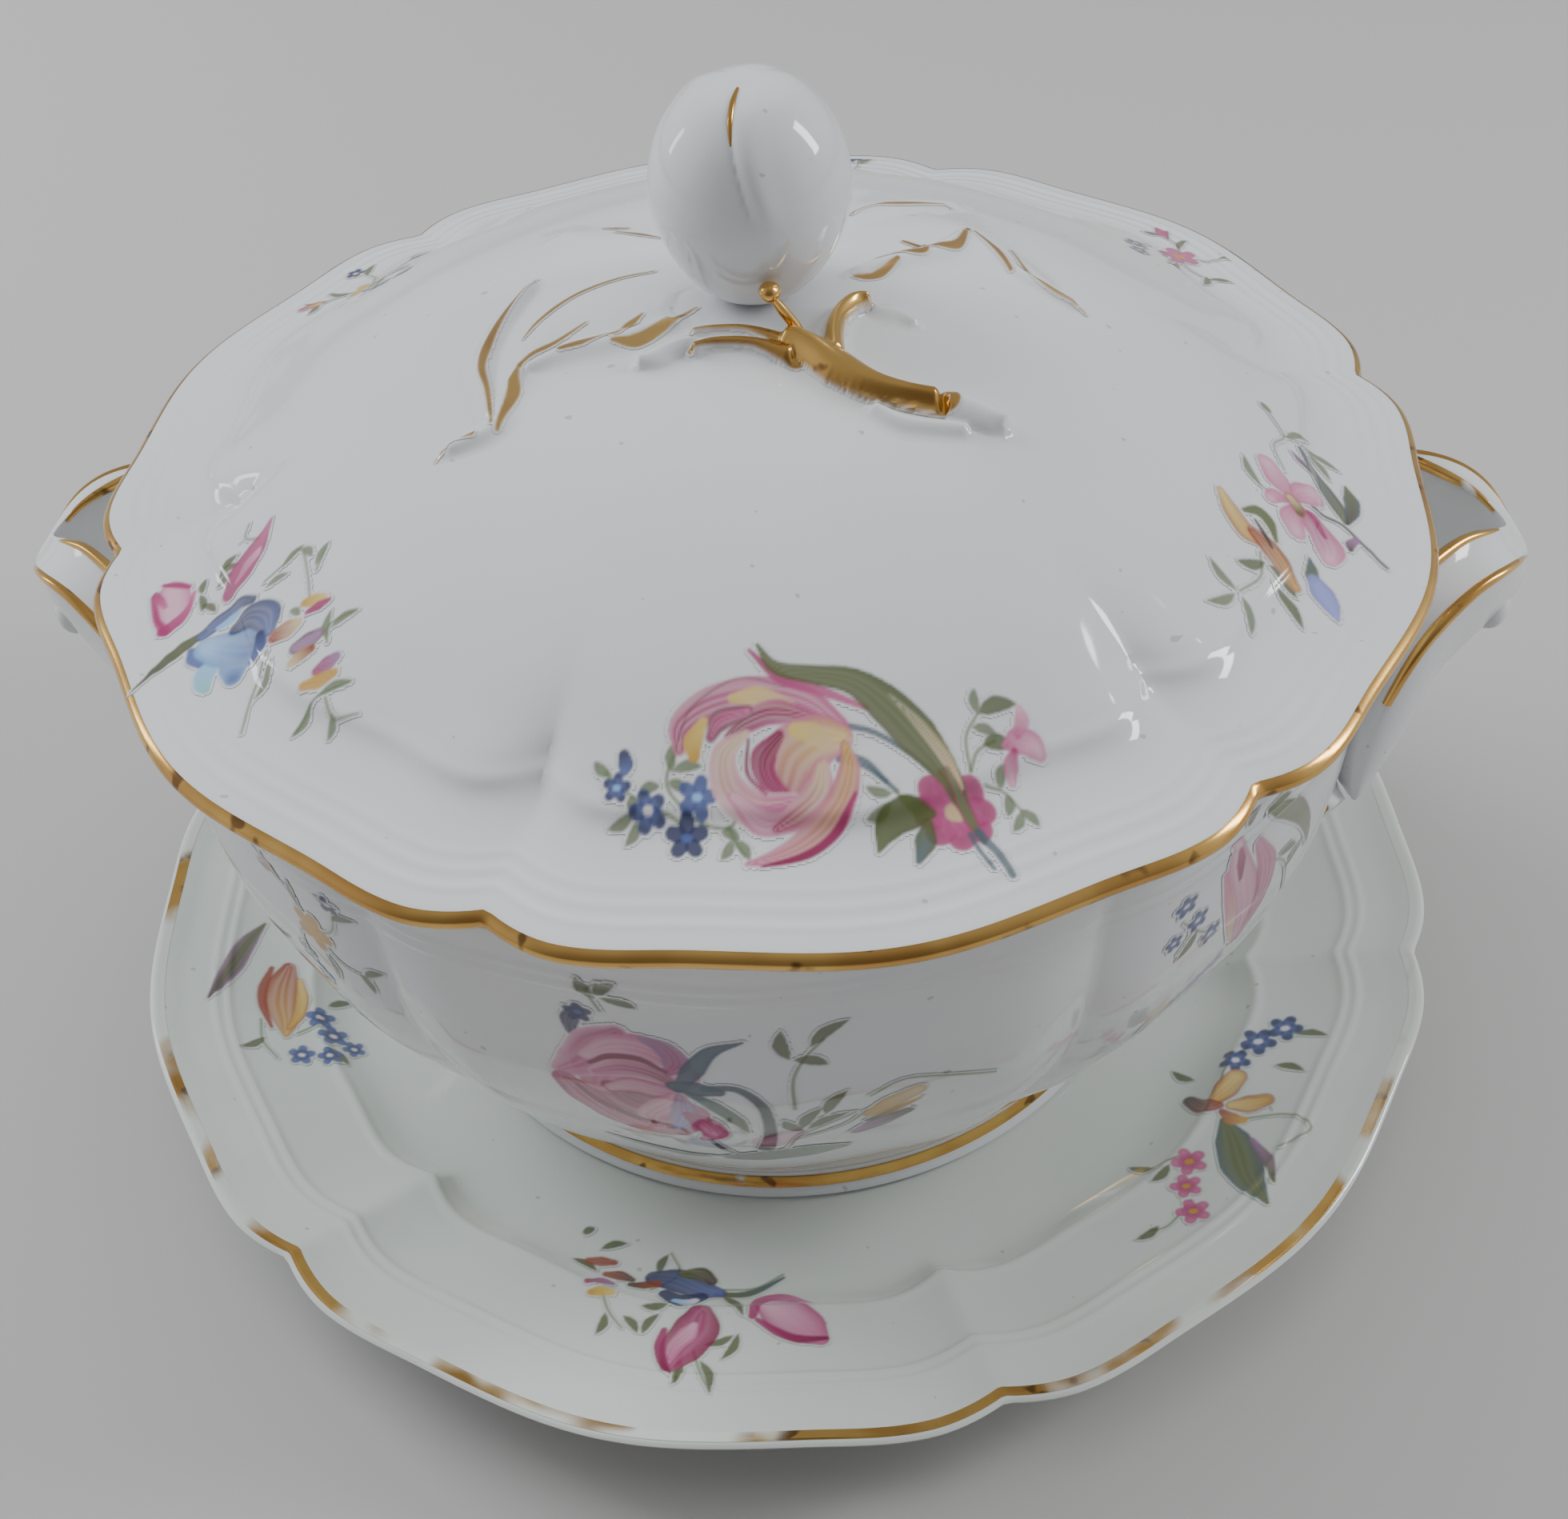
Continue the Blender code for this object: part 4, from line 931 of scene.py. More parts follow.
paint_strokes(
    front,
    (ROSE, MAGENTA, [1.4, 2.3, 2.7, 2.6, 2.0, 0.9],
     [(17, -86.6), (12, -83.8), (5, -82.9), (-2, -84.2), (-6.4, -87), (-6.6, -90.2)], ROSE, 0.35),
    (YELLOW, SAND, [0.6, 1.5, 1.1], [(1, -83.4), (5, -83.2), (9.5, -84.6)], None, 0.2),
    (YELLOW, OCHRE, [0.7, 1.5, 0.9], [(-3.2, -86.6), (-4.6, -89.2), (-4.4, -91)]),
    (MAGENTA, CRIMSON, [0.7, 1.8, 1.6, 0.7], [(15.5, -86.6), (8, -85.2), (3.4, -86.6), (0.6, -88.6)],
     ROSE, 0.3),
    (ROSE, MAGENTA, [0.8, 1.5, 0.8], [(3.4, -85.2), (-0.6, -86.4), (-2, -88.6)], BROWN_INK, 0.15),
    (YELLOW, MAGENTA, [2.0, 3.6, 4.8, 4.2, 2.4],
     [(17.2, -88.4), (14, -88.8), (10.6, -91.4), (9.6, -95), (8.6, -98)], ROSE, 0.30),
    (CRIMSON, MAGENTA, [0.8, 2.0, 1.5, 0.8], [(8.2, -88.4), (5.9, -91.4), (6.6, -94.2), (9.4, -96.4)],
     MAGENTA, 0.12),
    (YELLOW, SAND, [1.0, 1.5, 1.0], [(10.5, -87.6), (13.0, -88.0), (15.2, -89.4)], None, 0.1),
    (SAND, ROSE, [0.6, 1.9, 2.4, 2.4, 1.1],
     [(3.2, -88.2), (0.0, -91), (0.9, -95.4), (5, -97.9), (10.6, -97.2)], BLUSH, 0.45),
    (BLUSH, MAGENTA, [0.8, 1.8, 1.6, 0.7], [(1.6, -96.4), (5.6, -99.4), (9.8, -99.2), (12.4, -97.6)],
     ROSE, 0.25),
    (SAND, MAGENTA, [1.2, 2.4, 1.9, 0.8], [(14.6, -92.6), (14, -96), (11.6, -98.6), (8, -100.4)],
     ROSE, 0.35),
    (OCHRE, ROSE, [0.8, 1.7, 2.3, 2.2, 1.5, 0.4],
     [(18, -89.4), (18.6, -93), (17.0, -98), (12.8, -102), (8.6, -104.2), (3.8, -105.4)], ROSE, 0.25),
    (MAGENTA, CRIMSON, [0.3, 0.7, 0.7, 0.2], [(19.6, -96), (17, -100.6), (12.6, -104), (6, -105.8)]),
    (CRIMSON, MAGENTA, [0.25, 0.35, 0.2], [(3.6, -89), (3.6, -93.4), (6.4, -96.2)]))
front.brush(BROWN_INK, BROWN_INK, [0.12, 0.2, 0.12], [(-6.8, -88.8), (-4.8, -84.4), (2, -80.6), (9, -81.8)],
            cover=0.5)
paint_blossom(front, 34.2, -96.4, 6.2, ROSE, MAGENTA, SAND, 12, 8, 0.9)
paint_strokes(
    front,
    (MAGENTA, ROSE, [0.3, 0.9, 0.8, 0.4], [(3.4, -76.6), (8, -80.4), (14, -82), (21, -84)]),
    (OLIVE, OLIVE, [0.3, 1.0, 1.4, 2.0, 3.0, 3.3, 2.2, 0.9],
     [(4.6, -75.8), (7.4, -79), (13, -79.8), (19, -80.4), (24, -83.2), (28.5, -86.8), (32.6, -91),
      (36, -96)], 0.75 * OLIVE, 0.06),
    (LEAF, SAND, [0.3, 0.9, 1.0, 0.4], [(24.6, -82), (29, -85.4), (32.8, -89.4), (35, -93)], None, 0.35),
    (LEAF, OLIVE, [0.4, 1.1, 0.4], [(33, -91), (36.2, -96.6), (38.4, -100.6)], MAGENTA))
paint_twigs(front, TEAL, 0.75, [(37.6, -99), (40.6, -102.4), (42.4, -105.6)])
paint_twigs(front, TEAL, 0.45, [(36.4, -99.4), (37.8, -102), (39.8, -104.8)])
paint_twigs(front, LEAF, 0.28, [(36.5, -90.6), (35.9, -86), (37.6, -82.4)],
            [(36.6, -90.6), (37.6, -87.6), (40.2, -85.6)], [(38.8, -91.8), (41.6, -92.2), (44.2, -94.8)],
            [(25.4, -95.2), (27, -96.4), (30, -97.4)])
paint_leaves(front, OLIVE, 1.25, (38.6, -86.4, 43, -85.8), (37.9, -82.2, 43.6, -79.8))
paint_leaves(front, LEAF, 0.85, (37.7, -82.2, 37.2, -78.9), (37, -84.4, 40.6, -84.8),
             (41, -91.6, 41.6, -88.6), (42, -92.4, 42, -95.8), (44, -95, 42.8, -98.2),
             (44, -94.6, 46.6, -97.0), (24.8, -95.6, 21, -95.0), (24.6, -97, 21.2, -99.2),
             (25.8, -96, 29.2, -97.8))
paint_strokes(
    front,
    (OLIVE, OLIVE, [0.6, 2.2, 2.0, 0.3], [(30.8, -97), (27.4, -97.6), (24.4, -99.6), (23, -103.2)],
     0.7 * OLIVE),
    (OLIVE, TEAL, [0.8, 1.7, 0.5], [(30.2, -98.6), (29.8, -101.2), (28.8, -104.4)], 0.7 * OLIVE),
    (ROSE, BLUSH, [0.5, 1.9, 2.0, 1.0], [(41.8, -86), (43.8, -85), (45.6, -85), (47, -86)], ROSE, 0.1),
    (ROSE, BLUSH, [0.7, 1.2, 0.6], [(43.6, -84), (44.4, -82), (44.0, -80.4)], None, 0.1),
    (MAGENTA, BLUSH, [0.6, 1.2, 0.6], [(43.2, -86.4), (42.6, -88.6), (42.8, -90.6)], ROSE))
add_spray("lid_spray_front", front, on_lid, lid_enamel, "lid")

left = Canvas(-107, -56, -86, -30)
paint_twigs(left, LEAF, 0.28, [(-80, -48), (-76.8, -46.4), (-73.6, -44.8), (-71.4, -50), (-70, -55.4)],
            [(-69.6, -50.6), (-68.4, -47)], [(-65.4, -65), (-65.4, -62), (-60.8, -61)],
            [(-69.2, -78.4), (-66, -74), (-60.4, -72.8)], [(-64.4, -74.4), (-62.6, -77.6), (-58.4, -78)],
            [(-76.5, -63), (-78.2, -70), (-78.6, -77)], [(-83, -38), (-86, -36.4), (-86, -33.4)])
paint_leaves(left, LEAF, 0.75, (-76.6, -46.6, -73, -44.2), (-73.2, -44.8, -71, -47.4),
             (-69.8, -49.6, -68, -45.8), (-79.4, -49.4, -75.2, -48.6), (-65.6, -64.4, -65.4, -59.4),
             (-65, -62.6, -60.4, -61), (-67, -74.6, -69.8, -79), (-65.6, -73.8, -60, -72.6),
             (-63, -77, -63.4, -80.6), (-75.4, -65, -77.6, -70.4), (-73.4, -56.6, -71.4, -58.2))
paint_leaves(left, OLIVE, 0.8, (-90, -41.4, -87, -39.2), (-90.4, -42, -86.4, -41.2),
             (-90.4, -43.4, -87.4, -43), (-93.6, -44, -92.4, -48), (-92.6, -46.4, -89.6, -48.8),
             (-93.4, -43.6, -93.2, -40.6))
paint_strokes(
    left,
    (OLIVE, BROWN_INK, [0.6, 1.3, 1.1, 0.4, 0.15],
     [(-90.6, -53), (-93.4, -55.4), (-96.4, -58.6), (-99, -62), (-101, -64.6)], 0.7 * OLIVE),
    (MAGENTA, ROSE, [1.7, 2.6, 2.1, 0.9, 0.3],
     [(-87.2, -46), (-85.4, -43), (-83.3, -40), (-82, -37), (-81.2, -34.6)], MAGENTA),
    (ROSE, BLUSH, [0.4, 0.9, 0.8, 0.2], [(-86, -45), (-84.4, -42.2), (-83, -41), (-82.4, -40)], None, 0.2),
    (BLUSH, BLUSH, [1.3, 3.4, 3.2, 1.8], [(-97.8, -50.4), (-98, -46.6), (-99, -43), (-100, -40.8)], ROSE),
    (MAGENTA, MAGENTA, [0.5, 0.7, 0.8, 1.2],
     [(-103, -42.2), (-101.8, -45.4), (-100.4, -48.6), (-98.4, -51)], ROSE),
    (MAGENTA, ROSE, [1.3, 1.2, 0.6, 0.4], [(-98.6, -51.2), (-96.4, -49), (-95.2, -46), (-95.0, -42.8)]),
    (MAGENTA, MAGENTA, [0.5, 0.8, 0.6], [(-101.6, -39.6), (-98.8, -40.2), (-96.4, -41.2)], ROSE),
    (MAGENTA, ROSE, [0.6, 0.8, 0.5], [(-102.6, -41.6), (-101.2, -43.4), (-99.9, -45.2)]),
    (BLUE, BLUE, [0.8, 1.5, 0.9], [(-92, -57), (-91, -59), (-89.4, -60.6)]),
    (SKY, AQUA, [1.2, 2.0, 1.6, 0.9], [(-86.6, -60), (-88, -62.6), (-88, -65), (-87.2, -66.6)]),
    (SKY, BLUE, [2.2, 2.8, 1.7], [(-84.4, -59), (-83, -62.4), (-82.6, -65)], 0.5 * (SKY + BLUE)),
    (SKY, BLUE, [2.6, 3.8, 3.4, 1.8], [(-89, -57), (-85.6, -58.2), (-81.4, -59.8), (-78.6, -61)],
     0.5 * (SKY + BLUE), 0.12),
    (BLUE, NAVY, [1.0, 1.8, 1.5, 0.9], [(-91, -54), (-88, -51.4), (-84.4, -50.2), (-81.8, -50.6)],
     NAVY, 0.10),
    (SKY, SKY, [0.6, 1.0, 0.5], [(-88, -52.8), (-85.8, -52.0), (-84, -51.6)]),
    (NAVY, BLUE, [1.2, 2.6, 2.8, 1.2], [(-84.6, -54.4), (-81, -54), (-78, -55.8), (-76.8, -59)],
     NAVY, 0.12),
    (NAVY, BLUE, [0.8, 1.3, 0.7], [(-78.6, -59), (-78.2, -61.4), (-79.6, -63)]),
    (RUST, SAND, [1.4, 1.8, 1.0], [(-75.4, -60.6), (-73.4, -60.2), (-71.6, -59.6)], None, 0.15),
    (OCHRE, YELLOW, [0.8, 1.2, 0.8], [(-70.8, -56.2), (-69, -56.4), (-67.4, -56.6)]),
    (MAGENTA, MAGENTA, [0.5, 0.9, 0.5], [(-70, -58.2), (-68, -57.8), (-66.2, -57.4)]),
    (MAUVE, MAUVE, [1.2, 1.7, 1.1], [(-71, -64.4), (-69, -63.8), (-67.2, -63)], BROWN_INK * 1.6, 0.1),
    (SAND, RUST, [0.8, 1.2, 0.7], [(-71.4, -67), (-69.8, -66), (-68, -65.4)]),
    (MAGENTA, MAUVE, [0.8, 1.4, 0.9], [(-66.6, -69.6), (-64.8, -68.8), (-63.4, -68)], None, 0.1),
    (OCHRE, OCHRE, [0.8, 1.3, 0.8], [(-68.6, -71.6), (-66, -71.4), (-63.4, -70.6)], None, 0.1))
add_spray("lid_spray_left", left, on_lid, lid_enamel, "lid")

right = Canvas(70, 112, -61, 0)
paint_twigs(right, LEAF, 0.25, [(91.6, -1.4), (94, -7.6), (91.4, -12.6), (92.4, -19)],
            [(94, -7.6), (98, -6.6)], [(85.4, -41), (85, -45.6), (81, -50)], [(90, -28), (86.8, -25.4)])
paint_twigs(right, BROWN_INK, 0.45, [(96.6, -26), (101.6, -26), (104.6, -29.6), (108.4, -35.6)])
paint_leaves(right, LEAF, 0.85, (94.6, -7.6, 99.4, -4), (97.6, -7.4, 104.4, -10.4), (98, -8, 102, -14),
             (87.2, -26, 84.8, -19.8), (80.4, -50, 76.2, -46), (80, -51, 75, -54.6), (81.4, -51, 82.4, -57),
             (92.4, -2, 90.8, 0))
paint_leaves(right, OLIVE, 1.0, (86, -42.6, 81, -44.4), (86.8, -42.8, 91.4, -46.6),
             (87.4, -45.6, 91.6, -53))
paint_strokes(
    right,
    (TEAL, OLIVE, [0.4, 1.0, 1.6, 1.5, 0.5],
     [(96.8, -8.8), (98.2, -13), (100.2, -17.4), (102, -21.6), (102.8, -25.4)], BROWN_INK, 0.05),
    (MAUVE, BROWN_INK, [0.3, 0.8, 0.3], [(95, -11.6), (96.2, -13.4), (98, -15.6)]),
    (OLIVE, BROWN_INK, [0.3, 1.6, 1.4, 0.4], [(104.6, -14.6), (105, -18.6), (104.6, -22), (103.2, -25.6)],
     TEAL),
    (MAUVE, BROWN_INK, [0.8, 1.0, 0.5], [(104, -29.6), (102.8, -31), (102.6, -32.4)]),
    (ROSE, BLUSH, [0.9, 2.4, 1.9], [(92.6, -25.6), (90.6, -22.4), (89.2, -19)], ROSE, 0.15),
    (ROSE, BLUSH, [0.9, 2.7, 2.2], [(93.6, -25.6), (95.4, -23.4), (97.2, -22.2)], ROSE, 0.15),
    (MAGENTA, BLUSH, [1.2, 3.0, 3.0, 1.6], [(94.6, -28.4), (96.8, -30.6), (98.6, -33.4), (98.4, -36)],
     ROSE, 0.2),
    (ROSE, BLUSH, [1.0, 2.2, 1.7], [(92.6, -28.6), (92, -31), (92.6, -33.6)], ROSE, 0.1),
    (ROSE, BLUSH, [0.8, 1.6, 1.2], [(91.6, -27), (89.6, -27), (88.8, -28)], ROSE),
    (MAGENTA, MAGENTA, [0.5, 1.0, 0.5], [(95.4, -28), (97, -29.4), (98.2, -31)]),
    (SAND, OLIVE, [1.0, 1.3, 0.9], [(92.4, -26), (93.4, -27.4), (93.8, -29)], RUST),
    (OCHRE, YELLOW, [1.2, 1.9, 1.7, 0.7], [(85.4, -38.6), (83.2, -37.6), (81, -34.6), (79.4, -31.2)],
     RUST, 0.15),
    (RUST, OCHRE, [1.1, 1.9, 1.8, 1.0], [(84.6, -37.2), (87.2, -39.4), (89.4, -42), (91.4, -44.4)],
     RUST, 0.25),
    (OLIVE, OLIVE, [0.5, 1.2, 1.1, 0.4], [(83.4, -33.4), (86, -32.4), (87.8, -34), (88.6, -37.4)]),
    (BROWN_INK, BROWN_INK, [0.3, 0.5, 0.3], [(85.2, -34.6), (86.6, -37), (87.6, -39)]),
    (TEAL, OLIVE, [0.4, 1.1, 1.3], [(94.6, -37.6), (94.8, -39.4), (94.6, -41)]),
    (VIOLET, VIOLET, [1.4, 2.2, 1.7, 0.3], [(95, -41.8), (96, -44.2), (97, -46.6), (97.8, -50)],
     0.7 * VIOLET))
add_spray("lid_spray_right", right, on_lid, lid_enamel, "lid")

for name, u, v, petals, turn in (("back_left", -84, 55, YELLOW, 130), ("back_right", 84, 66, ROSE, 40),
                                 ("back", 12, 104, MAGENTA, 85)):
    add_edge_spray("lid_spray_" + name, u, v, 19, 0.95, petals, turn, 117, on_lid, lid_enamel, "lid")

# ---- Flowers on the bowl ----------------------------------------------------------------------------
# A cabbage rose with a thorny stem in front, a tulip on the right, a leafy spray on the left, and
# smaller sprays round the back.  Across the wall u counts 2 mm to a degree.
bowl_enamel = finish_glaze("bowl_flowers", WHITE_BODY, WHITE_POOLED, painted=True)


def on_bowl(middle):
    """Where (u, v) lies on the bowl, for a spray about an angle in degrees; v is the height."""
    def place(u, v, lift):
        return bowl_wall.lifted(bowl_share(v), middle + u / 2.0, lift)
    return place


rose = Canvas(-16, 60, 46, 123)
paint_twigs(rose, LEAF, 0.35, [(-3, 113), (-4.4, 118), (-2.4, 121)], [(17, 63), (8, 62.4), (2, 60)],
            [(26, 88), (26, 97), (28, 103), (31, 107.4)], [(38, 84), (34, 79), (26, 74.6)],
            [(60, 88), (52, 90.6), (44, 92.4), (38.4, 89)], [(36, 84), (27, 77), (24, 69.6), (18, 63)])
paint_leaves(rose, OLIVE, 1.3, (-3.4, 116.4, -5.6, 121.6), (-3, 117.4, 0.4, 121.4), (-2.4, 116.6, 3, 115.2),
             (25.6, 103, 24.6, 110.6), (26.4, 102.8, 31.6, 100.6), (29, 106, 35, 111.6),
             (27, 80, 30.4, 87.4), (27, 79, 24, 84), (28, 79.4, 35, 84.4), (31, 85, 34.6, 92))
paint_strokes(
    rose,
    (NAVY, NAVY, [0.9, 1.7, 1.1], [(-8.6, 106), (-8.4, 109.4), (-6.6, 112.6)], None, 0.1),
    (ROSE, BLUSH, [3.0, 7.0, 7.4, 4.5], [(-6, 91), (-3, 99), (2, 101), (7, 98)], ROSE, 0.15),
    (CRIMSON, ROSE, [3.0, 6.6, 7.0, 4.2], [(-8, 87), (-3, 83), (3, 82), (8, 86)], MAGENTA, 0.18),
    (ROSE, MAGENTA, [2.0, 4.2, 4.0, 2.0], [(-12, 94), (-8, 98), (-5, 104), (-1, 108)], BLUSH, 0.2),
    (MAGENTA, ROSE, [2.4, 3.8, 3.4, 1.8], [(-12, 91), (-9, 86.4), (-4, 80.4), (2, 77.4)], MAGENTA, 0.2),
    (CRIMSON, MAGENTA, [1.6, 3.6, 3.0, 1.4], [(-4, 92), (0, 89), (3, 88.4), (7, 91)], MAGENTA, 0.1),
    (BLUSH, ROSE, [1.4, 3.2, 3.2, 1.6], [(-7, 100), (-2, 104), (3, 104.6), (8, 101.4)], ROSE, 0.25),
    (ROSE, CRIMSON, [1.2, 2.8, 2.6, 1.4], [(-6, 95.6), (-1, 98.4), (4, 98), (7.4, 95)], BLUSH, 0.2),
    (BLUSH, ROSE, [1.2, 2.4, 2.2, 1.0], [(-4, 91.4), (0, 93.4), (4, 93.2), (7.6, 93.4)], MAGENTA, 0.2),
    (BLUSH, ROSE, [1.2, 2.8, 2.6, 1.2], [(8, 92.6), (4.4, 87.4), (2, 83.4), (2.6, 79)], ROSE, 0.3),
    (MAUVE, VIOLET, [0.8, 2.2, 2.6, 1.2], [(7.6, 92), (8, 88), (7.4, 83.4), (6, 80)], MAUVE, 0.2),
    (MAGENTA, ROSE, [1.0, 2.8, 2.4, 1.0], [(8.4, 86), (11, 82.6), (12.2, 78.6), (10, 75)], MAGENTA, 0.1),
    (MAGENTA, MAUVE, [0.8, 2.4, 2.0, 0.8], [(6, 98.4), (8, 101.6), (6.4, 105.4), (3, 107.4)], MAUVE, 0.1),
    (CRIMSON, CRIMSON, [0.5, 0.9, 0.9, 0.4], [(-10, 90), (-6.6, 85.4), (-1, 81.4), (5, 80.4)]),
    (CRIMSON, CRIMSON, [0.4, 0.8, 0.8, 0.4], [(-6.6, 98), (-3, 101), (2, 101.6), (6, 99)]),
    (TEAL, TEAL, [1.0, 2.0, 1.4, 0.3], [(7.6, 94), (10.4, 100), (13.6, 105.4), (18.6, 108)], NAVY),
    (TEAL, TEAL, [1.4, 2.2, 1.2], [(7, 95), (10.4, 94.6), (14, 94)], NAVY),
    (TEAL, OLIVE, [0.8, 1.5, 1.4, 0.3], [(9, 93.4), (13, 89.4), (16.4, 84.4), (18, 79.4)]),
    (TEAL, BROWN_INK, [1.0, 0.9, 1.0, 1.1, 1.3, 1.6],
     [(12, 95), (17, 95), (20.6, 90), (21.6, 83.4), (21.4, 76), (20.4, 70)]),
    (BROWN_INK, OLIVE, [2.2, 4.2, 4.4, 1.8], [(14, 62.4), (20, 64), (28, 65.4), (34, 66)], TEAL, 0.05),
    (TEAL, OLIVE, [0.3, 1.6, 1.8, 0.6], [(-10, 66), (-3, 62.6), (4, 61), (9, 61.6)]),
    (BROWN_INK, BROWN_INK, [0.5, 0.8, 0.4], [(11, 75), (13, 69.4), (15.4, 65)]),
    (OCHRE, SAND, [1.4, 2.4, 1.6], [(38.6, 82.4), (42, 85.2), (46.4, 88)], OCHRE * 0.7, 0.15),
    (MAUVE, BROWN_INK, [1.4, 2.4, 1.4], [(36.6, 75), (40.4, 77.6), (45, 80.4)], None, 0.2),
    (BROWN_INK, OCHRE, [0.5, 1.0, 0.5], [(38, 79.4), (42, 81.6), (47, 84.8)]))
paint_blossom(rose, -6.8, 111.6, 2.5, NAVY, NAVY, BLUE, 20)
add_spray("bowl_spray_front", rose, on_bowl(261.7), bowl_enamel, "bowl")

tulip = Canvas(-22, 28, 78, 127)
paint_twigs(tulip, LEAF, 0.35, [(-2, 96), (-8, 101), (-13, 107)], [(8, 106), (16, 99), (21, 87)],
            [(-10, 103), (-13, 99)])
paint_leaves(tulip, OLIVE, 1.2, (-1, 122, 0, 126), (3, 121, 10, 121.6), (13, 103, 19, 101),
             (17, 96, 22, 99.6), (-9, 102, -13, 97))
for u, v, size in ((-13.2, 111.4, 2.6), (-9.4, 105, 2.6), (-4.6, 97.6, 2.6), (-14.6, 103, 2.0)):
    paint_blossom(tulip, u, v, size, BLUE, NAVY, PALE, 30)
paint_strokes(
    tulip,
    (OLIVE, OLIVE, [0.6, 2.0, 2.4, 1.6, 0.4], [(4, 122), (9, 118), (15, 113), (21, 105), (25, 96)],
     0.7 * OLIVE, 0.05),
    (ROSE, BLUSH, [1.2, 3.4, 4.2, 3.2, 1.4], [(6, 86), (6, 93), (3, 102), (0, 110), (-3, 119)],
     MAGENTA, 0.2),
    (MAGENTA, ROSE, [1.2, 2.6, 2.8, 1.0], [(7, 86), (10, 94), (9, 104), (4, 114)], MAGENTA, 0.2),
    (SAND, ROSE, [0.8, 1.6, 1.6, 0.6], [(4, 88), (1.6, 96), (-1, 104), (-4, 112)], ROSE, 0.2),
    (CRIMSON, MAGENTA, [0.5, 1.2, 0.5], [(1, 107), (0, 112), (-1.6, 117)]))
add_spray("bowl_spray_right", tulip, on_bowl(315.0), bowl_enamel, "bowl")

for name, middle, petals, turn in (("left", 232.0, OCHRE, 70), ("back_right", 62.0, ROSE, 10),
                                   ("back", 98.0, MAGENTA, 80), ("back_left", 134.0, YELLOW, 150)):
    patch = Canvas(-20, 20, 80, 126, 0.32)
    paint_small_spray(patch, 0, 105, 1.05, petals, turn)
    add_spray("bowl_spray_" + name, patch, on_bowl(middle), bowl_enamel, "bowl")

# ---- Flowers on the underplate ----------------------------------------------------------------------
# Two tulips and a blue flower in front, pansies with a large leaf on the right, a striped tulip on
# the left, and smaller sprays behind the bowl.
plate_enamel = finish_glaze("plate_flowers", PLATE_BODY, PLATE_POOLED, painted=True)


def on_plate(u, v, lift):
    """Places on the plate over (u, v) in plan."""
    share, angle = plate_wall.share_under(u, v)
    return plate_wall.lifted(share, angle, lift)


patch = Canvas(-42, 18, -131, -85)
paint_twigs(patch, LEAF, 0.3, [(-22, -102), (-17, -97), (-19, -92)],
            [(-31, -104), (-29, -109), (-26, -113)], [(-8, -101), (-2, -100.4), (3.4, -96.6)],
            [(-12, -118), (-10, -124), (-8, -128)], [(-14, -119), (-14.4, -126)])
paint_leaves(patch, OLIVE, 0.95, (-8, -103, -3.4, -109), (-26, -110, -23, -114), (-22, -114, -19.4, -109),
             (-18, -106.6, -23, -107.2), (-29.6, -109.6, -30.6, -115), (-14.6, -120, -15, -126.6),
             (-4, -113.6, -6.6, -120), (-5, -114, -10, -116.4), (-10.4, -120.6, -8, -128),
             (-33, -91.6, -28, -90), (-38, -95, -33, -98), (-21, -97, -19.6, -92.4), (-37, -88, -35, -86.6))
paint_strokes(
    patch,
    (OLIVE, TEAL, [0.8, 1.0, 0.3], [(-9, -102.4), (-3, -102), (3.6, -97.4)]),
    (NAVY, BLUE, [2.0, 3.2, 2.8, 1.4], [(-21.6, -98.6), (-17, -99), (-12.6, -101), (-8.6, -102)],
     NAVY, 0.05),
    (NAVY, NAVY, [1.4, 2.2, 1.4], [(-19, -103), (-15.6, -105), (-12, -103.4)]),
    (OLIVE, BROWN_INK, [1.0, 1.8, 1.2], [(-16, -97), (-12.6, -97), (-10.4, -98.6)], None, 0.1),
    (SKY, PALE, [0.6, 1.2, 0.7], [(-17, -105), (-14.6, -105.6), (-13, -104.6)]),
    (MAGENTA, MAGENTA, [2.6, 4.6, 4.4, 1.8], [(-11.6, -109), (-12, -112.6), (-14, -117), (-16, -122)],
     CRIMSON, 0.1),
    (BLUSH, ROSE, [0.9, 2.0, 1.6, 0.6], [(-12.6, -111.6), (-13.6, -114), (-15.4, -117), (-16.4, -121)],
     ROSE, 0.2),
    (MAGENTA, CRIMSON, [0.7, 1.1, 1.0, 0.3], [(-18, -113), (-18.4, -117), (-17.4, -121), (-15.6, -124)]),
    (BLUSH, ROSE, [2.4, 4.4, 4.4, 1.6], [(1, -106), (4.4, -108.4), (8, -111.4), (11.6, -114.6)],
     MAGENTA, 0.05),
    (MAGENTA, ROSE, [0.9, 1.3, 1.0, 0.5], [(-1.6, -109), (-0.6, -104.6), (4, -103), (9, -105.4)]),
    (MAGENTA, CRIMSON, [0.6, 1.0, 1.0, 0.5], [(-0.6, -110), (3.4, -113), (7.4, -114.6), (12.6, -114.4)]),
    (RUST, RUST, [0.9, 1.4, 0.8], [(-35, -95), (-32.6, -95), (-30, -95)], None, 0.1),
    (RUST, BROWN_INK, [0.9, 1.5, 0.8], [(-31, -98.6), (-28.4, -98.6), (-26, -99.4)], None, 0.1),
    (BROWN_INK, RUST, [0.7, 1.2, 0.9], [(-26, -101), (-23.6, -100.8), (-21, -100)]),
    (MAGENTA, MAUVE, [0.7, 1.1, 0.6], [(-34, -102), (-31.6, -101), (-29.4, -101.4)]),
    (OCHRE, YELLOW, [0.8, 1.3, 0.8], [(-33, -104.6), (-31, -104.2), (-29, -104.4)]))
add_spray("plate_spray_front", patch, on_plate, plate_enamel, "plate")

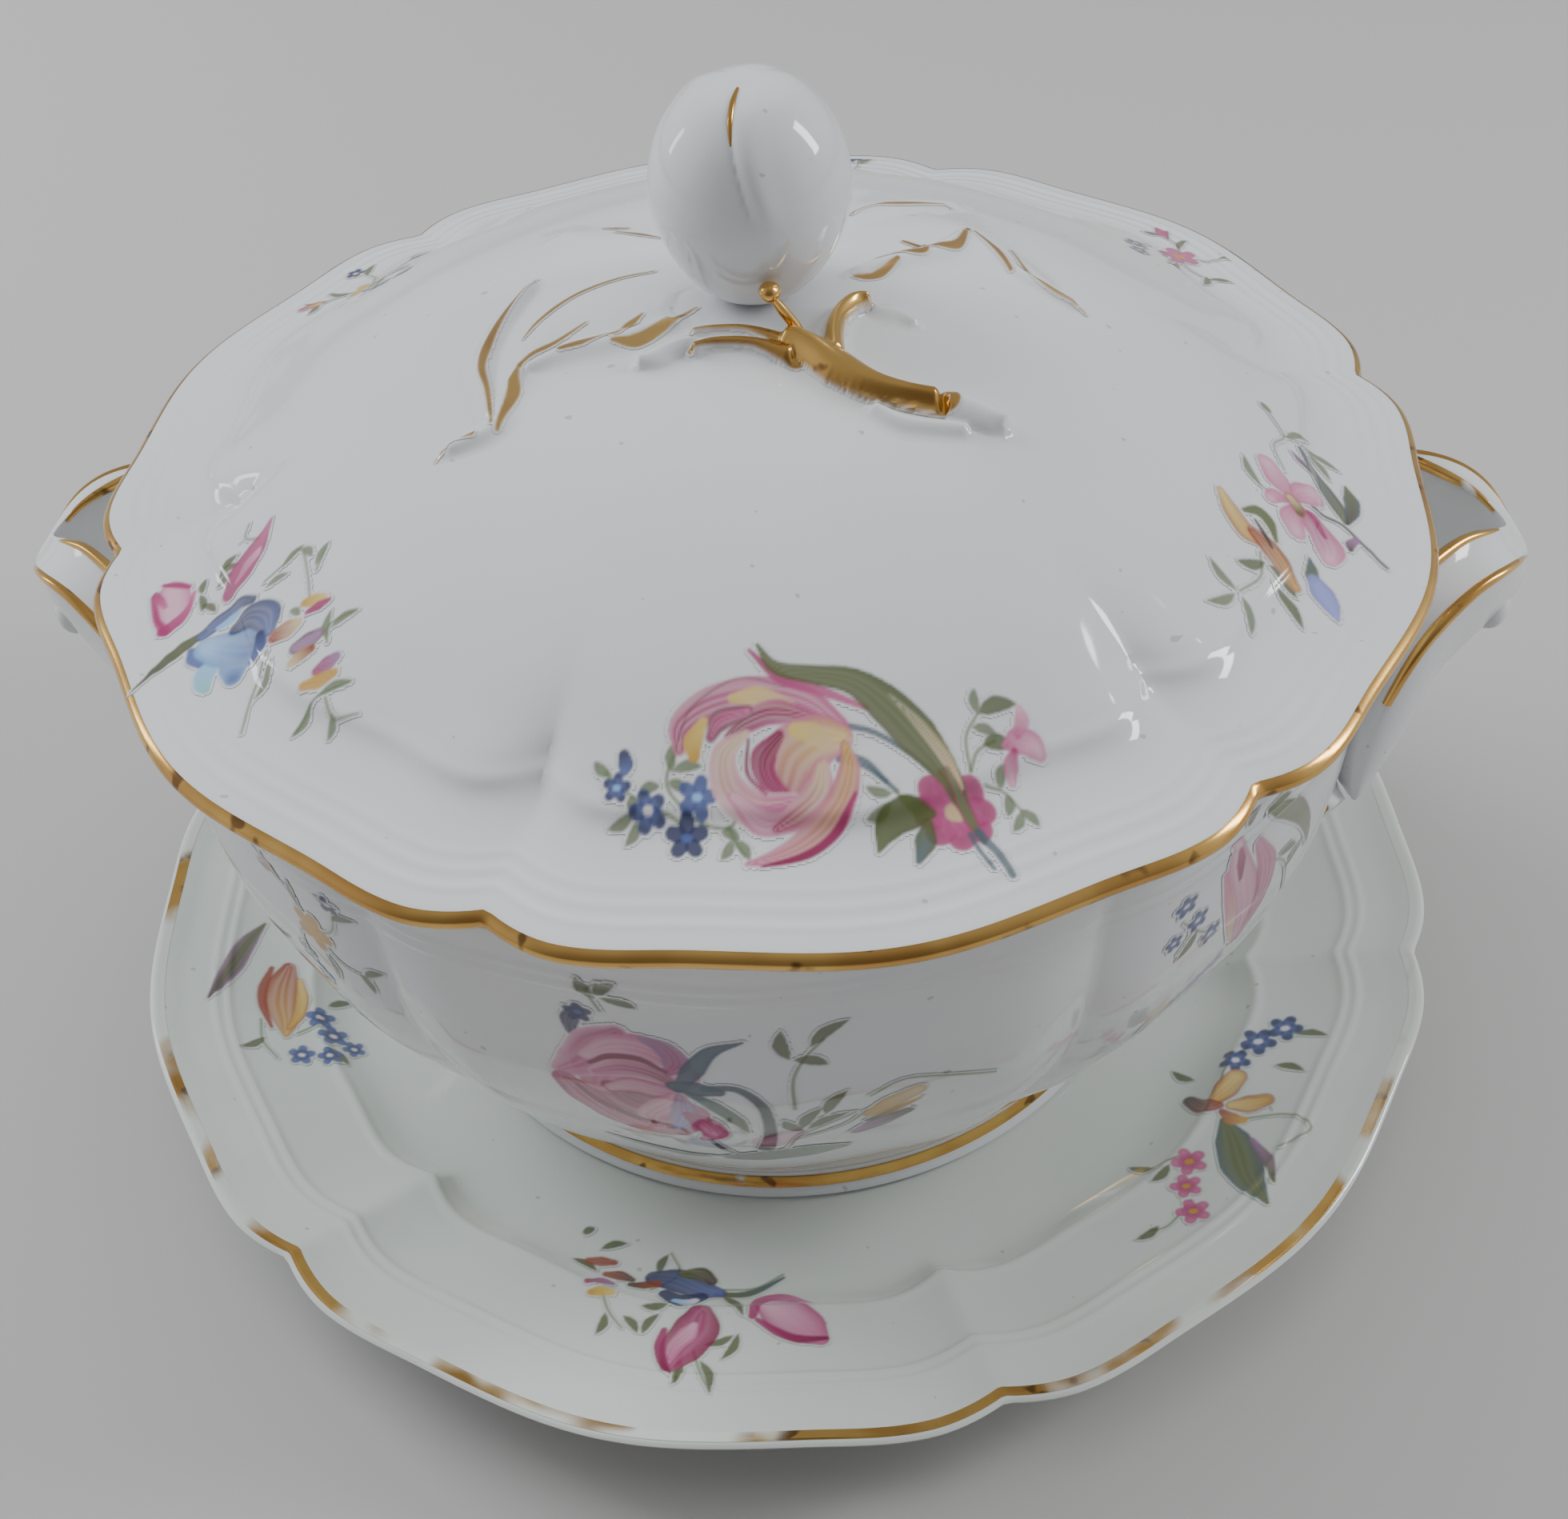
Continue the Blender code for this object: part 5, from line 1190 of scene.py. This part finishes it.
patch = Canvas(69, 120, -96, -33)
paint_twigs(patch, LEAF, 0.3, [(82, -72), (75, -74.6)], [(83, -84), (78, -90), (74.4, -91)],
            [(96, -64), (104, -65), (107.6, -69.6), (101, -73.4)], [(100, -44), (94, -50), (92, -58)])
paint_leaves(patch, OLIVE, 1.0, (109, -43, 115, -45.4), (104, -51, 109, -54), (88, -50, 84, -46.6),
             (77, -74, 72.6, -72), (76, -90, 71.6, -93), (80, -74, 76, -78))
for u, v, size in ((107.4, -41, 3.6), (101.6, -43.6, 3.8), (96.4, -48, 3.2)):
    paint_blossom(patch, u, v, size, BLUE, NAVY, PALE, 20 + u)
paint_strokes(
    patch,
    (OLIVE, OLIVE, [1.0, 3.6, 4.2, 2.6, 0.5], [(92, -64), (93, -70), (93.6, -76), (94.6, -82), (96.6, -87)],
     TEAL, 0.05),
    (MAUVE, OLIVE, [0.5, 1.3, 0.4], [(96.6, -70), (98.4, -76), (98.6, -82)]),
    (OCHRE, YELLOW, [1.4, 2.6, 2.2], [(91, -58), (93.6, -55.4), (96, -52.6)], RUST, 0.15),
    (YELLOW, OCHRE, [1.2, 2.4, 1.8], [(94, -60), (97.4, -60.4), (100.6, -60)], RUST, 0.15),
    (RUST, BROWN_INK, [1.0, 2.0, 1.4], [(91.6, -59.6), (88.6, -59), (86.4, -56)], None, 0.1),
    (RUST, OCHRE, [0.8, 1.6, 1.0], [(92, -61.4), (93.6, -63.6), (95.6, -64.4)], None, 0.1))
for u, v, size in ((84, -73.6, 3.6), (82.6, -80, 3.2), (83, -87, 3.4)):
    paint_blossom(patch, u, v, size, MAGENTA, ROSE, OCHRE, 3 * u)
add_spray("plate_spray_right", patch, on_plate, plate_enamel, "plate")

patch = Canvas(-127, -87, -57, -12)
paint_twigs(patch, LEAF, 0.3, [(-104, -44), (-99, -40), (-94, -44)],
            [(-112, -42), (-110, -48), (-106, -52)])
paint_leaves(patch, OLIVE, 1.0, (-100, -34, -95.6, -31), (-97, -47, -92, -50), (-110, -47, -113.6, -51))
paint_strokes(
    patch,
    (OLIVE, BROWN_INK, [0.4, 1.8, 2.2, 1.6, 0.4],
     [(-117.6, -15), (-119.6, -21), (-120.8, -28), (-122, -34), (-123.4, -39)], MAUVE, 0.05),
    (RUST, OCHRE, [1.6, 3.4, 4.0, 2.6, 0.8],
     [(-110, -26), (-110, -31), (-109, -36), (-107, -41), (-106, -45)], RUST, 0.25),
    (YELLOW, OCHRE, [0.7, 1.6, 1.4, 0.5], [(-107, -29), (-105.4, -34), (-105, -39), (-106, -43)],
     RUST, 0.1),
    (RUST, RUST, [0.6, 1.1, 1.0, 0.4], [(-113.4, -27), (-113.8, -33), (-112.6, -38), (-109.4, -43.6)]))
for u, v, size in ((-100.6, -38.4, 3.0), (-97, -42.6, 3.0), (-101.6, -50, 2.8), (-96, -49, 2.6),
                   (-92.4, -44.6, 2.4)):
    paint_blossom(patch, u, v, size, NAVY, BLUE, PALE, 4 * u)
add_spray("plate_spray_left", patch, on_plate, plate_enamel, "plate")

for name, turn, petals in (("back_right", 52.0, ROSE), ("back", 100.0, YELLOW),
                           ("back_left", 146.0, MAGENTA)):
    u, v = 119 * math.cos(math.radians(turn)), 119 * math.sin(math.radians(turn))
    add_edge_spray("plate_spray_" + name, u, v, 18, 0.9, petals, turn, 136, on_plate, plate_enamel,
                   "plate")

# ---- Table and light --------------------------------------------------------------------------------
# A plain pale table top, and soft light from large windows on both sides.  The room is lighter
# towards the windows and dark on the near side.
table_mesh = bpy.data.meshes.new("table")
table_mesh.from_pydata([(-3, -3, 0), (3, -3, 0), (3, 5, 0), (-3, 5, 0)], [], [(0, 1, 2, 3)])
table = bpy.data.objects.new("table", table_mesh)
bpy.context.scene.collection.objects.link(table)
table_finish, shader, pen = start_finish("table_top")
shader.inputs["Base Color"].default_value = (0.50, 0.49, 0.48, 1.0)
shader.inputs["Roughness"].default_value = 0.6
table_mesh.materials.append(table_finish)
world = bpy.data.worlds.new("room")
bpy.context.scene.world = world
world.use_nodes = True
backdrop = world.node_tree.nodes["Background"]
room = Value(world.node_tree)
direction = room.node("ShaderNodeTexCoord", out=0)
across = room.node("ShaderNodeSeparateXYZ", out=0, Vector=direction)
depth = room.node("ShaderNodeSeparateXYZ", out=1, Vector=direction)
walls = (across * across).ramp(0.25, 0.95).blend((0.62, 0.64, 0.67, 1.0), (1.05, 1.10, 1.18, 1.0))
room_light = depth.ramp(-0.95, -0.15).blend((0.26, 0.24, 0.24, 1.0), walls)
world.node_tree.links.new(room_light.socket, backdrop.inputs["Color"])
backdrop.inputs["Strength"].default_value = 0.62


def add_light(name, place, size, power, colour, mirrored=True):
    """A soft rectangular light that faces the tureen; mirrored lights show in the glaze."""
    data = bpy.data.lights.new(name, "AREA")
    data.shape = "RECTANGLE"
    data.size, data.size_y = size
    data.energy = power
    data.color = colour
    light = bpy.data.objects.new(name, data)
    bpy.context.scene.collection.objects.link(light)
    light.location = place
    towards = Vector((0, 0, 0.1)) - Vector(place)
    light.rotation_euler = towards.to_track_quat("-Z", "Y").to_euler()
    light.visible_glossy = mirrored


DAYLIGHT = (0.93, 0.97, 1.0)
add_light("curtained_window", (-1.1, 0.5, 0.95), (0.7, 0.9), 15, DAYLIGHT, False)
add_light("window_left", (-1.25, 0.35, 0.55), (0.12, 0.5), 1.2, DAYLIGHT)
add_light("window_right", (1.15, 0.15, 0.75), (0.22, 0.7), 8, (0.97, 0.98, 1.0))
add_light("ceiling", (0.0, 0.1, 1.6), (1.4, 1.4), 8, (1.0, 0.97, 0.93), False)
